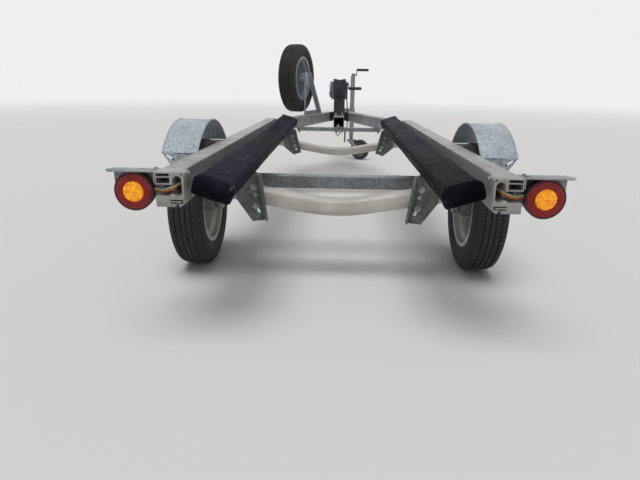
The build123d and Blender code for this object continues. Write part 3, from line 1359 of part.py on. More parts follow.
# Plug of the trailer's lead, parked against the right side of the winch post
plug_x = POST_WIDTH / 2 + FIT + PLUG_DIAMETER / 2
with BuildPart() as trailer_plug:
    with BuildSketch(Plane.XY.offset(PLUG_BOTTOM)):
        with Locations((plug_x, ahead(PLUG_AHEAD))):
            Circle(PLUG_GLAND / 2)
    extrude(amount=PLUG_GLAND_LENGTH)
    with BuildSketch(Plane.XY.offset(PLUG_BOTTOM + PLUG_GLAND_LENGTH)):
        with Locations((plug_x, ahead(PLUG_AHEAD))):
            Circle(PLUG_DIAMETER / 2)
    extrude(amount=PLUG_LENGTH - PLUG_GLAND_LENGTH)
write(trailer_plug, "trailer_plug")

# The lead, down the post, back under the drawbar's right side and into the tie
# Columns: X, distance ahead of the rail ends, Z
lead_rows = (
    (plug_x, PLUG_AHEAD, PLUG_BOTTOM), (plug_x, PLUG_AHEAD, 704), (69, 3200, 661), (70, 3196, 610),
    (76, 3199, 557), (79, 3204, 502), (76, 3198, 455), (73, 3174, 424), (70, 3130, 413),
    (66, 3080, 410), (60, 3025, 414), (57, 2986, RAIL_BOTTOM - TIE_HEIGHT / 2),
    (57, TIE_AHEAD + TIE_WIDTH / 2 + FIT, RAIL_BOTTOM - TIE_HEIGHT / 2),
)
lead_points = [Vector(x, ahead(distance), z) for x, distance, z in lead_rows]
write(build_cord("trailer_lead", lead_points, LEAD_DIAMETER), "trailer_lead")

# Lamp wires, out of each open rail end through the casting's notch and across to the lamp
# Columns: X, distance ahead of the rail ends, height from the middle of the notch
wire_rows = (
    (475, 64, 13), (479, 45, 12), (480, 26, 9), (489, 9, 5), (508, 6, -3), (530, 18, -9), (546, 46, -11),
)
for wire_colour, wire_place in (("red", -1), ("yellow", 0), ("white", 1)):
    wire_middle_z = notch_z + wire_place * WIRE_SPACING
    wire_points = [Vector(x, ahead(distance), wire_middle_z + rise) for x, distance, rise in wire_rows]
    wire_end = wire_points[-1]
    lamp_side_x = LAMP_X - sqrt(lamp_rim**2 - (wire_end.Z - LAMP_Z) ** 2) - FIT
    wire_points.append(Vector(lamp_side_x, wire_end.Y, wire_end.Z))
    wire_name = f"lamp_wires_{wire_colour}"
    write_both(build_cord(wire_name, wire_points, WIRE_DIAMETER), wire_name)
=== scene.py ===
"""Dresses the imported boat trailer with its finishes, tyres, pads and small pieces."""
from __future__ import annotations

import logging
import math
from dataclasses import dataclass
from enum import Enum

import bmesh
import bpy
from mathutils import Matrix, Vector, noise


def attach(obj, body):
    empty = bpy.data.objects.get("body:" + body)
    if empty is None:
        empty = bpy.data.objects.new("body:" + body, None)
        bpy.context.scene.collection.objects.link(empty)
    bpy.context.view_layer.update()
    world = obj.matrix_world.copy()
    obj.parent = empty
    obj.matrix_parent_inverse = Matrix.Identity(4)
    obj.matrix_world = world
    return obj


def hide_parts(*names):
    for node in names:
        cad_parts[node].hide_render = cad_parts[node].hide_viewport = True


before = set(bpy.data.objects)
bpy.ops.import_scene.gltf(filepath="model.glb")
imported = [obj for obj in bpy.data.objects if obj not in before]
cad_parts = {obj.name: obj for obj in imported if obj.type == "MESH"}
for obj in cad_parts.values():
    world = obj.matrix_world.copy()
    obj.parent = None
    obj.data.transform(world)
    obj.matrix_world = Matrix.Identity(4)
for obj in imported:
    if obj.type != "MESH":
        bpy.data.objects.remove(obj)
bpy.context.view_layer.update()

logging.basicConfig(level=logging.INFO, format="%(message)s")
log = logging.getLogger("trailer")

Colour = tuple[float, float, float]
Point = tuple[float, float, float]

CHASSIS = "chassis"
REAR_Y = -2.28
MM = 0.001
SEAM = 1e-6  # vertices closer than this many metres are welded
UNSTRETCHED: Point = (1.0, 1.0, 1.0)


def ahead(distance: float) -> float:
    """Y, in metres, of a point this many millimetres ahead of the rail ends."""
    return REAR_Y + distance * MM


# Shader graphs


class Graph:
    """Adds nodes to one node tree and joins them."""

    def __init__(self, tree: bpy.types.NodeTree) -> None:
        """Keep the tree that the nodes go into."""
        self.tree = tree

    def add(self, kind: str, **settings: object) -> bpy.types.Node:
        """Add a node.

        Args:
            kind: Blender's name of the node type.
            settings: properties of the node to set.

        Returns:
            The new node.
        """
        made = self.tree.nodes.new(kind)
        for key, value in settings.items():
            setattr(made, key, value)
        return made

    def feed(self, socket: bpy.types.NodeSocket, value: object) -> None:
        """Link an output to the socket, or set the socket to a plain value."""
        if isinstance(value, bpy.types.NodeSocket):
            self.tree.links.new(value, socket)
        elif isinstance(value, tuple) and len(value) == 3 and socket.type == "RGBA":
            socket.default_value = (*value, 1.0)
        else:
            socket.default_value = value

    def spot(self, stretch: object = UNSTRETCHED) -> bpy.types.NodeSocket:
        """Object coordinates, stretched by a vector or a vector socket."""
        place = self.add("ShaderNodeTexCoord")
        scaled = self.add("ShaderNodeVectorMath", operation="MULTIPLY")
        self.feed(scaled.inputs[0], place.outputs["Object"])
        self.feed(scaled.inputs[1], stretch)
        return scaled.outputs[0]

    def noise(self, where: bpy.types.NodeSocket, scale: object, detail: float = 4.0,
              rough: float = 0.55) -> bpy.types.NodeSocket:
        """Fractal noise from 0 to 1 at these coordinates."""
        made = self.add("ShaderNodeTexNoise")
        for name, value in (("Vector", where), ("Scale", scale), ("Detail", detail), ("Roughness", rough)):
            self.feed(made.inputs[name], value)
        return made.outputs["Fac"]

    def cells(self, where: bpy.types.NodeSocket, scale: object) -> bpy.types.Node:
        """A Voronoi node of nearest cells."""
        made = self.add("ShaderNodeTexVoronoi")
        self.feed(made.inputs["Vector"], where)
        self.feed(made.inputs["Scale"], scale)
        return made

    def span(self, value: object, low: object, high: object, first: object = 0.0,
             last: object = 1.0) -> bpy.types.NodeSocket:
        """Map a value from low..high to first..last, clamped."""
        made = self.add("ShaderNodeMapRange", interpolation_type="SMOOTHSTEP")
        for index, given in enumerate((value, low, high, first, last)):
            self.feed(made.inputs[index], given)
        return made.outputs[0]

    def math(self, operation: str, first: object, second: object) -> bpy.types.NodeSocket:
        """The result of one operation on two values."""
        made = self.add("ShaderNodeMath", operation=operation)
        self.feed(made.inputs[0], first)
        self.feed(made.inputs[1], second)
        return made.outputs[0]

    def blend(self, amount: object, first: object, second: object) -> bpy.types.NodeSocket:
        """Colour between first and second."""
        made = self.add("ShaderNodeMix", data_type="RGBA")
        self.feed(made.inputs["Factor"], amount)
        self.feed(made.inputs["A"], first)
        self.feed(made.inputs["B"], second)
        return next(out for out in made.outputs if out.type == "RGBA")


class Effect(Enum):
    """The shared effects, each a node group."""

    SPANGLE = "spangle"
    STREAKS = "streaks"
    DUST = "dust"
    GRAIN = "grain"
    WEAVE = "weave"


# Each effect's inputs with their defaults, and its outputs
EFFECT_SOCKETS: dict[Effect, tuple[dict[str, object], tuple[str, ...]]] = {
    Effect.SPANGLE: ({"Scale": 120.0, "Contrast": 1.0}, ("Tone", "Height")),
    Effect.STREAKS: ({"Scale": 8.0, "Stretch": UNSTRETCHED, "Low": 0.5, "High": 0.7}, ("Mask",)),
    Effect.DUST: ({"Scale": 9.0, "Amount": 0.5}, ("Mask",)),
    Effect.GRAIN: ({"Scale": 300.0, "Stretch": UNSTRETCHED}, ("Height",)),
    Effect.WEAVE: ({"Scale": 900.0, "Stretch": UNSTRETCHED}, ("Height",)),
}

_groups: dict[Effect, bpy.types.NodeTree] = {}


def _new_group(effect: Effect, inputs: dict[str, object], outputs: tuple[str, ...]) -> bpy.types.NodeTree:
    """An empty group with its named sockets."""
    tree = bpy.data.node_groups.new(effect.value, "ShaderNodeTree")
    for name, value in inputs.items():
        kind = "NodeSocketVector" if isinstance(value, tuple) else "NodeSocketFloat"
        tree.interface.new_socket(name, in_out="INPUT", socket_type=kind).default_value = value
    for name in outputs:
        tree.interface.new_socket(name, in_out="OUTPUT", socket_type="NodeSocketFloat")
    return tree


def group_tree(effect: Effect) -> bpy.types.NodeTree:
    """The node group of an effect, built the first time it is asked for.

    Args:
        effect: which effect.

    Returns:
        Its node tree.
    """
    if effect in _groups:
        return _groups[effect]
    tree = _new_group(effect, *EFFECT_SOCKETS[effect])
    graph = Graph(tree)
    given = graph.add("NodeGroupInput").outputs
    result = graph.add("NodeGroupOutput").inputs
    if effect is Effect.SPANGLE:
        where = graph.spot()
        flakes = graph.cells(where, given["Scale"])
        grey = graph.add("ShaderNodeSeparateColor")
        graph.feed(grey.inputs[0], flakes.outputs["Color"])
        cloud = graph.noise(where, 9.0, 5.0)
        tone = graph.math("MULTIPLY", graph.math("SUBTRACT", grey.outputs[0], 0.5), given["Contrast"])
        tone = graph.math("ADD", tone, cloud)
        graph.feed(result["Tone"], graph.span(tone, 0.1, 0.9))
        graph.feed(result["Height"], grey.outputs[1])
    elif effect is Effect.STREAKS:
        cloud = graph.noise(graph.spot(given["Stretch"]), given["Scale"], 6.0)
        graph.feed(result["Mask"], graph.span(cloud, given["Low"], given["High"]))
    elif effect is Effect.DUST:
        where = graph.spot()
        facing = graph.add("ShaderNodeSeparateXYZ")
        graph.feed(facing.inputs[0], graph.add("ShaderNodeNewGeometry").outputs["Normal"])
        upward = graph.span(facing.outputs["Z"], 0.1, 0.95, 0.25, 1.0)
        cloud = graph.span(graph.noise(where, given["Scale"], 7.0, 0.65), 0.35, 0.75)
        settled = graph.math("MULTIPLY", upward, cloud)
        graph.feed(result["Mask"], graph.math("MULTIPLY", settled, given["Amount"]))
    elif effect is Effect.GRAIN:
        where = graph.spot(given["Stretch"])
        fine = graph.noise(where, given["Scale"], 3.0)
        pores = graph.cells(where, given["Scale"]).outputs["Distance"]
        graph.feed(result["Height"], graph.math("ADD", fine, pores))
    else:
        where = graph.spot(given["Stretch"])
        threads = []
        for direction in ("X", "Y"):
            wave = graph.add("ShaderNodeTexWave", bands_direction=direction)
            graph.feed(wave.inputs["Vector"], where)
            graph.feed(wave.inputs["Scale"], given["Scale"])
            threads.append(wave.outputs["Fac"])
        graph.feed(result["Height"], graph.math("MULTIPLY", *threads))
    _groups[effect] = tree
    return tree


def place(graph: Graph, effect: Effect, **values: object) -> bpy.types.Node:
    """Place an effect's group in a material with its own values."""
    node = graph.add("ShaderNodeGroup", node_tree=group_tree(effect))
    for name, value in values.items():
        graph.feed(node.inputs[name], value)
    return node


def new_material(name: str) -> tuple[bpy.types.Material, Graph, bpy.types.Node]:
    """A fresh material with its graph and its Principled shader."""
    material = bpy.data.materials.new(name)
    material.use_nodes = True
    tree = material.node_tree
    shader = next(node for node in tree.nodes if node.type == "BSDF_PRINCIPLED")
    return material, Graph(tree), shader


def roughen(graph: Graph, shader: bpy.types.Node, height: object, distance: float, strength: float) -> None:
    """Feed a height through a Bump node into the shader's normal."""
    bump = graph.add("ShaderNodeBump")
    bump.inputs["Distance"].default_value = distance
    bump.inputs["Strength"].default_value = strength
    graph.feed(bump.inputs["Height"], height)
    graph.feed(shader.inputs["Normal"], bump.outputs["Normal"])


DUST_COLOUR: Colour = (0.40, 0.37, 0.33)


@dataclass(frozen=True)
class MetalFinish:
    """A bare or zinc-coated metal with flakes, lengthwise lines, stains and dust."""

    name: str
    light: Colour
    dark: Colour
    metallic: float
    roughness: float
    flakes: float
    flake_contrast: float
    stain: Colour
    stain_amount: float
    dust: float
    bump: float
    stretch: Point = UNSTRETCHED
    line_scale: float = 6.0

    def material(self) -> bpy.types.Material:
        """Build the material."""
        made, graph, shader = new_material(self.name)
        spangle = place(graph, Effect.SPANGLE, Scale=self.flakes, Contrast=self.flake_contrast)
        lines = place(graph, Effect.STREAKS, Scale=self.line_scale, Stretch=self.stretch, Low=0.42, High=0.72)
        dust = place(graph, Effect.DUST, Scale=7.0, Amount=self.dust)
        colour = graph.blend(spangle.outputs["Tone"], self.dark, self.light)
        stain = graph.math("MULTIPLY", lines.outputs["Mask"], self.stain_amount)
        colour = graph.blend(stain, colour, self.stain)
        colour = graph.blend(dust.outputs["Mask"], colour, DUST_COLOUR)
        graph.feed(shader.inputs["Base Color"], colour)
        rough = graph.span(spangle.outputs["Tone"], 0.0, 1.0, self.roughness + 0.12, self.roughness - 0.08)
        rough = graph.math("ADD", rough, graph.math("MULTIPLY", dust.outputs["Mask"], 0.35))
        graph.feed(shader.inputs["Roughness"], rough)
        metal = graph.span(dust.outputs["Mask"], 0.0, 1.0, self.metallic, 0.1)
        graph.feed(shader.inputs["Metallic"], metal)
        roughen(graph, shader, spangle.outputs["Height"], 0.0004, self.bump)
        return made


@dataclass(frozen=True)
class PaintFinish:
    """Sprayed paint with fine orange peel, scratches down to a second colour, and dust."""

    name: str
    colour: Colour
    shade: Colour
    scratch: Colour
    roughness: float
    scratches: float
    dust: float
    peel: float = 0.08

    def material(self) -> bpy.types.Material:
        """Build the material."""
        made, graph, shader = new_material(self.name)
        cloud = place(graph, Effect.STREAKS, Scale=12.0, Low=0.3, High=0.7)
        chips = place(graph, Effect.STREAKS, Scale=60.0, Stretch=(1.0, 1.0, 0.35), Low=0.70, High=0.74)
        dust = place(graph, Effect.DUST, Scale=14.0, Amount=self.dust)
        grain = place(graph, Effect.GRAIN, Scale=420.0)
        colour = graph.blend(cloud.outputs["Mask"], self.shade, self.colour)
        worn = graph.math("MULTIPLY", chips.outputs["Mask"], self.scratches)
        colour = graph.blend(worn, colour, self.scratch)
        colour = graph.blend(dust.outputs["Mask"], colour, DUST_COLOUR)
        graph.feed(shader.inputs["Base Color"], colour)
        rough = graph.span(cloud.outputs["Mask"], 0.0, 1.0, self.roughness + 0.08, self.roughness - 0.05)
        graph.feed(shader.inputs["Roughness"], graph.math("ADD", rough, dust.outputs["Mask"]))
        roughen(graph, shader, grain.outputs["Height"], 0.0003, self.peel)
        return made


@dataclass(frozen=True)
class VinylFinish:
    """Grained black wrap with dusty patches, pale rubbed marks that are partly painted highlight streaks, and
    a painted blue reflection in its colour.
    """

    name: str
    colour: Colour
    # Painted reflection: a blue colour that stands in for the sky's reflection on the wrap
    painted_sheen: Colour
    # Pale rubbed marks, partly real wear and partly painted highlight streaks
    scuff_and_highlight: Colour
    roughness: float
    dust: float
    grain: float = 520.0

    def material(self) -> bpy.types.Material:
        """Build the material."""
        made, graph, shader = new_material(self.name)
        cloud = place(graph, Effect.STREAKS, Scale=5.0, Stretch=(1.0, 0.45, 1.0), Low=0.35, High=0.75)
        scuff_and_highlight_streaks = place(graph, Effect.STREAKS, Scale=26.0, Stretch=(1.6, 0.28, 1.6), Low=0.60, High=0.78)
        hairline_and_highlight = place(graph, Effect.STREAKS, Scale=75.0, Stretch=(1.5, 0.10, 1.0), Low=0.66, High=0.72)
        dust = place(graph, Effect.DUST, Scale=6.0, Amount=self.dust)
        grain = place(graph, Effect.GRAIN, Scale=self.grain, Stretch=(1.0, 0.8, 1.0))
        # Painted reflection: clouds of the blue colour over the black
        colour = graph.blend(cloud.outputs["Mask"], self.colour, self.painted_sheen)
        # Rubbed marks and hairlines: real wear, and also painted highlight streaks
        scuff_and_highlight_amount = graph.math("MULTIPLY", scuff_and_highlight_streaks.outputs["Mask"], 0.35)
        colour = graph.blend(scuff_and_highlight_amount, colour, self.scuff_and_highlight)
        colour = graph.blend(graph.math("MULTIPLY", hairline_and_highlight.outputs["Mask"], 0.45), colour, self.scuff_and_highlight)
        colour = graph.blend(dust.outputs["Mask"], colour, (0.27, 0.26, 0.27))
        graph.feed(shader.inputs["Base Color"], colour)
        # Real reflection is nearly turned off, and the painted blue reflection stands in for it
        shader.inputs["Specular IOR Level"].default_value = 0.008
        rough = graph.span(cloud.outputs["Mask"], 0.0, 1.0, self.roughness, self.roughness + 0.16)
        rough = graph.math("ADD", rough, graph.math("MULTIPLY", dust.outputs["Mask"], 0.5))
        graph.feed(shader.inputs["Roughness"], rough)
        roughen(graph, shader, grain.outputs["Height"], 0.0006, 0.35)
        return made


@dataclass(frozen=True)
class RubberFinish:
    """Dull rubber with a fine grain, faded patches and road dust."""

    name: str
    colour: Colour
    faded: Colour
    roughness: float = 0.75
    dust: float = 0.3
    grain: float = 340.0

    def material(self) -> bpy.types.Material:
        """Build the material."""
        made, graph, shader = new_material(self.name)
        patch = place(graph, Effect.STREAKS, Scale=11.0, Low=0.35, High=0.75)
        dust = place(graph, Effect.DUST, Scale=16.0, Amount=self.dust)
        grain = place(graph, Effect.GRAIN, Scale=self.grain)
        colour = graph.blend(patch.outputs["Mask"], self.colour, self.faded)
        colour = graph.blend(dust.outputs["Mask"], colour, (0.30, 0.27, 0.24))
        graph.feed(shader.inputs["Base Color"], colour)
        rough = graph.span(patch.outputs["Mask"], 0.0, 1.0, self.roughness, 0.9)
        graph.feed(shader.inputs["Roughness"], rough)
        roughen(graph, shader, grain.outputs["Height"], 0.0005, 0.2)
        return made


@dataclass(frozen=True)
class LensFinish:
    """Moulded lens plastic with a clear coat, a prism grain under it, and a painted glow as if light shone
    through, though the lamps are not lit.
    """

    name: str
    colour: Colour
    deep: Colour
    # Strength of the painted glow
    glow: float
    cell: float

    def material(self) -> bpy.types.Material:
        """Build the material."""
        made, graph, shader = new_material(self.name)
        where = graph.spot()
        prisms = graph.cells(where, self.cell)
        facet = graph.add("ShaderNodeSeparateColor")
        graph.feed(facet.inputs[0], prisms.outputs["Color"])
        dust = place(graph, Effect.DUST, Scale=20.0, Amount=0.06)
        colour = graph.blend(facet.outputs[0], self.deep, self.colour)
        colour = graph.blend(dust.outputs["Mask"], colour, DUST_COLOUR)
        graph.feed(shader.inputs["Base Color"], colour)
        graph.feed(shader.inputs["Roughness"], graph.span(facet.outputs[1], 0.0, 1.0, 0.18, 0.34))
        # Painted light: the lens glows in its own colour though the lamps are not lit
        graph.feed(shader.inputs["Emission Color"], colour)
        shader.inputs["Emission Strength"].default_value = self.glow
        shader.inputs["Coat Weight"].default_value = 0.25
        shader.inputs["Coat Roughness"].default_value = 0.12
        shader.inputs["Specular IOR Level"].default_value = 0.25
        roughen(graph, shader, facet.outputs[2], 0.0006, 0.5)
        return made


@dataclass(frozen=True)
class WebbingFinish:
    """Woven strap with its threads as bump."""

    name: str
    colour: Colour
    thread: Colour

    def material(self) -> bpy.types.Material:
        """Build the material."""
        made, graph, shader = new_material(self.name)
        weave = place(graph, Effect.WEAVE, Scale=240.0)
        dust = place(graph, Effect.DUST, Scale=20.0, Amount=0.35)
        colour = graph.blend(weave.outputs["Height"], self.colour, self.thread)
        colour = graph.blend(dust.outputs["Mask"], colour, DUST_COLOUR)
        graph.feed(shader.inputs["Base Color"], colour)
        graph.feed(shader.inputs["Roughness"], graph.span(weave.outputs["Height"], 0.0, 1.0, 0.9, 0.7))
        roughen(graph, shader, weave.outputs["Height"], 0.0008, 0.6)
        return made


class Finish(Enum):
    """Every finish on the trailer, by the record's material slot or a trim name."""

    EXTRUSION = MetalFinish(
        "extruded_aluminium", (0.42, 0.40, 0.42), (0.28, 0.265, 0.27), metallic=0.25, roughness=0.48,
        flakes=35.0, flake_contrast=0.12, stretch=(6.0, 0.25, 6.0), line_scale=7.0,
        stain=(0.22, 0.20, 0.18), stain_amount=0.5,
        dust=0.12, bump=0.04)
    ARCH = MetalFinish(
        "mill_aluminium", (0.62, 0.60, 0.56), (0.42, 0.40, 0.36), metallic=0.3, roughness=0.42,
        flakes=30.0, flake_contrast=0.1, stretch=(0.35, 5.0, 5.0), line_scale=7.0,
        stain=(0.30, 0.27, 0.23), stain_amount=0.5,
        dust=0.12, bump=0.04)
    CASTING = MetalFinish(
        "cast_aluminium", (0.42, 0.41, 0.39), (0.27, 0.265, 0.255), metallic=0.25, roughness=0.55,
        flakes=420.0, flake_contrast=0.25, stain=(0.18, 0.17, 0.15), stain_amount=0.45, dust=0.15, bump=0.5)
    ZINC = MetalFinish(
        "galvanised_steel", (0.33, 0.355, 0.375), (0.17, 0.185, 0.20), metallic=0.3, roughness=0.5,
        flakes=130.0, flake_contrast=0.5, stain=(0.14, 0.13, 0.12), stain_amount=0.35, dust=0.12, bump=0.18)
    # A darker copy of the galvanised steel: painted shade for pieces that stand in shade
    PLATE = MetalFinish(
        "galvanised_steel_painted_shade", (0.17, 0.19, 0.185), (0.085, 0.10, 0.095), metallic=0.25, roughness=0.5,
        flakes=120.0, flake_contrast=0.5, stain=(0.10, 0.09, 0.07), stain_amount=0.4, dust=0.08, bump=0.18)
    GUARD = MetalFinish(
        "galvanised_sheet", (0.50, 0.56, 0.61), (0.24, 0.29, 0.33), metallic=0.25, roughness=0.55,
        flakes=300.0, flake_contrast=0.75, stain=(0.26, 0.28, 0.29), stain_amount=0.45, dust=0.10, bump=0.08)
    BOLT = MetalFinish(
        "plated_bolts", (0.60, 0.60, 0.57), (0.24, 0.24, 0.23), metallic=0.6, roughness=0.32, flakes=300.0,
        flake_contrast=0.5, stain=(0.16, 0.11, 0.08), stain_amount=0.45, dust=0.08, bump=0.1)
    HUB = MetalFinish(
        "dull_hub", (0.26, 0.25, 0.24), (0.12, 0.12, 0.12), metallic=0.4, roughness=0.6, flakes=200.0,
        flake_contrast=0.3, stain=(0.23, 0.13, 0.08), stain_amount=0.6, dust=0.35, bump=0.3)
    BLACK_PAINT = PaintFinish(
        "black_paint", (0.030, 0.031, 0.035), (0.018, 0.018, 0.021), (0.25, 0.24, 0.23), roughness=0.42,
        scratches=0.35, dust=0.22)
    WHEEL_PAINT = PaintFinish(
        "wheel_silver", (0.60, 0.60, 0.55), (0.46, 0.46, 0.42), (0.20, 0.15, 0.11), roughness=0.40,
        scratches=0.3, dust=0.4)
    # The wrap's second colour is a painted blue reflection, and its pale marks are partly painted highlight
    # streaks
    VINYL = VinylFinish(
        "bunk_wrap", (0.004, 0.004, 0.006), (0.020, 0.021, 0.038), (0.17, 0.18, 0.23), roughness=0.38,
        dust=0.02)
    TYRE = RubberFinish("road_tyre", (0.014, 0.014, 0.016), (0.032, 0.031, 0.031), dust=0.10)
    SOLID_TYRE = RubberFinish("solid_tyre", (0.02, 0.02, 0.021), (0.05, 0.048, 0.046), dust=0.5)
    BOW_RUBBER = RubberFinish(
        "bow_rubber", (0.020, 0.024, 0.045), (0.05, 0.055, 0.08), roughness=0.55, dust=0.25)
    BLACK_PLASTIC = RubberFinish(
        "black_plastic", (0.016, 0.016, 0.018), (0.035, 0.035, 0.037), roughness=0.45, dust=0.25, grain=600.0)
    # The glow of the lenses and diodes is painted light; the lamps are not lit
    RED_LENS = LensFinish("red_lens", (0.34, 0.008, 0.010), (0.13, 0.002, 0.004), glow=0.06, cell=260.0)
    AMBER_LENS = LensFinish("amber_lens", (1.0, 0.52, 0.02), (0.80, 0.20, 0.002), glow=0.28, cell=150.0)
    DIODE = LensFinish("lamp_diode", (0.62, 0.03, 0.03), (0.40, 0.015, 0.02), glow=0.15, cell=300.0)
    CABLE = RubberFinish(
        "cable_sheath", (0.015, 0.015, 0.017), (0.035, 0.035, 0.036), roughness=0.5, dust=0.3, grain=700.0)
    RED_WIRE = RubberFinish(
        "red_wire", (0.55, 0.03, 0.015), (0.42, 0.03, 0.02), roughness=0.4, dust=0.15, grain=900.0)
    YELLOW_WIRE = RubberFinish(
        "yellow_wire", (0.78, 0.55, 0.03), (0.60, 0.42, 0.04), roughness=0.4, dust=0.15, grain=900.0)
    WHITE_WIRE = RubberFinish(
        "white_wire", (0.70, 0.69, 0.64), (0.55, 0.54, 0.49), roughness=0.4, dust=0.2, grain=900.0)
    SLEEVE = RubberFinish(
        "wire_sleeve", (0.62, 0.50, 0.30), (0.48, 0.38, 0.22), roughness=0.5, dust=0.2, grain=900.0)
    WEBBING = WebbingFinish("strap_webbing", (0.05, 0.05, 0.06), (0.16, 0.16, 0.17))

    def material(self) -> bpy.types.Material:
        """The finish's material, built the first time it is asked for."""
        if self not in _materials:
            _materials[self] = self.value.material()
        return _materials[self]


_materials: dict[Finish, bpy.types.Material] = {}

# Which finish the shown CAD nodes take, and the width of the small round on their edges in millimetres
NODE_FINISHES: dict[str, tuple[Finish, float]] = {
    "side_rail_left": (Finish.EXTRUSION, 1.2), "side_rail_right": (Finish.EXTRUSION, 1.2),
    "drawbar_arm_left": (Finish.EXTRUSION, 1.2), "drawbar_arm_right": (Finish.EXTRUSION, 1.2),
    "rail_ends": (Finish.CASTING, 1.5),
    "rear_crossmember": (Finish.ARCH, 1.5), "front_crossmember": (Finish.ARCH, 1.5),
    "drawbar": (Finish.ZINC, 1.5), "drawbar_gussets": (Finish.BLACK_PAINT, 1.2),
    "drawbar_tie": (Finish.ZINC, 1.0),
    "axle_tube": (Finish.ZINC, 1.5), "axle_mounts": (Finish.ZINC, 1.5), "swing_arms": (Finish.ZINC, 1.5),
    "mudguard_left": (Finish.GUARD, 0.0), "mudguard_right": (Finish.GUARD, 0.0),
    "mudguard_stays": (Finish.GUARD, 0.8),
    # The bunk brackets take the zinc's darker copy, which is painted shade
    "rear_bunk_brackets": (Finish.PLATE, 1.2), "front_bunk_brackets": (Finish.PLATE, 1.2),
    "lamp_plates": (Finish.ZINC, 0.7), "lamp_housings": (Finish.BLACK_PLASTIC, 0.8),
    "winch_post": (Finish.BLACK_PAINT, 1.5), "winch_frame": (Finish.ZINC, 1.0),
    "spare_carrier": (Finish.GUARD, 1.2), "spare_rim": (Finish.GUARD, 0.8),
    "jockey_clamp": (Finish.ZINC, 1.2), "jockey_tube": (Finish.ZINC, 0.8), "jockey_crank": (Finish.ZINC, 0.8),
    "coupling": (Finish.ZINC, 2.0), "coupling_handle": (Finish.ZINC, 2.0),
    "rim_left": (Finish.WHEEL_PAINT, 0.8), "rim_right": (Finish.WHEEL_PAINT, 0.8),
    "hub_left": (Finish.HUB, 1.0), "hub_right": (Finish.HUB, 1.0),
    "winch_drum": (Finish.ZINC, 0.6), "winch_crank": (Finish.ZINC, 1.0),
    "jockey_leg": (Finish.ZINC, 0.8), "jockey_fork": (Finish.ZINC, 1.0), "jockey_rim": (Finish.HUB, 0.8),
    "jockey_tyre": (Finish.SOLID_TYRE, 3.0), "bow_stop": (Finish.BOW_RUBBER, 5.0),
    "winch_grip": (Finish.BLACK_PLASTIC, 1.0), "jockey_grip": (Finish.BLACK_PLASTIC, 1.0),
    "trailer_plug": (Finish.BLACK_PLASTIC, 1.5),
}


def dress_nodes() -> None:
    """Give every CAD node that stays its material and a small round on its edges."""
    for node, (finish, round_mm) in NODE_FINISHES.items():
        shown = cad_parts[node]
        shown.data.materials.clear()
        shown.data.materials.append(finish.material())
        for face in shown.data.polygons:
            face.use_smooth = True
        weld = shown.modifiers.new("weld", "WELD")
        weld.merge_threshold = 0.00002
        if round_mm:
            edge = shown.modifiers.new("round", "BEVEL")
            edge.width = round_mm * MM
            edge.segments = 2
            edge.limit_method = "ANGLE"
            edge.angle_limit = math.radians(35)
            edge.harden_normals = True
        else:
            weighted = shown.modifiers.new("even", "WEIGHTED_NORMAL")
            weighted.keep_sharp = True
        log.info("node %s in %s", node, finish.value.name)


# Meshes


def to_object(mesh: bmesh.types.BMesh, name: str, finish: Finish, body: str,
              flat_angle: float = 35.0) -> bpy.types.Object:
    """Turn a bmesh into a finished piece of the trailer.

    Args:
        mesh: the geometry, in metres in the trailer's frame.
        name: the piece's name.
        finish: its finish.
        body: the CAD body that it rides on.
        flat_angle: edges sharper than this many degrees stay sharp.

    Returns:
        The object.
    """
    bmesh.ops.recalc_face_normals(mesh, faces=mesh.faces)
    for face in mesh.faces:
        face.smooth = True
    for edge in mesh.edges:
        if len(edge.link_faces) == 2 and edge.calc_face_angle(0.0) > math.radians(flat_angle):
            edge.smooth = False
    data = bpy.data.meshes.new(name)
    mesh.to_mesh(data)
    mesh.free()
    made = bpy.data.objects.new(name, data)
    bpy.context.scene.collection.objects.link(made)
    data.materials.append(finish.material())
    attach(made, body)
    log.info("piece %s on %s, %d faces", name, body, len(data.polygons))
    return made


def section(mesh: bmesh.types.BMesh,
            points: list[Point]) -> list[bmesh.types.BMVert | bmesh.types.BMEdge]:
    """Vertices and edges of a closed section through these points."""
    verts = [mesh.verts.new(point) for point in points]
    return verts + [mesh.edges.new(pair) for pair in zip(verts, verts[1:] + verts[:1])]


def spin(mesh: bmesh.types.BMesh, shape: list[bmesh.types.BMVert | bmesh.types.BMEdge], axis: Point,
         steps: int) -> None:
    """Spin a section a full turn about an axis through the origin."""
    bmesh.ops.spin(mesh, geom=shape, cent=(0, 0, 0), axis=axis, angle=math.tau, steps=steps, use_merge=True)


class Side(Enum):
    """The left and right hand of the trailer, seen from behind."""

    LEFT = -1
    RIGHT = 1

    @property
    def word(self) -> str:
        """The side in lower case."""
        return self.name.lower()


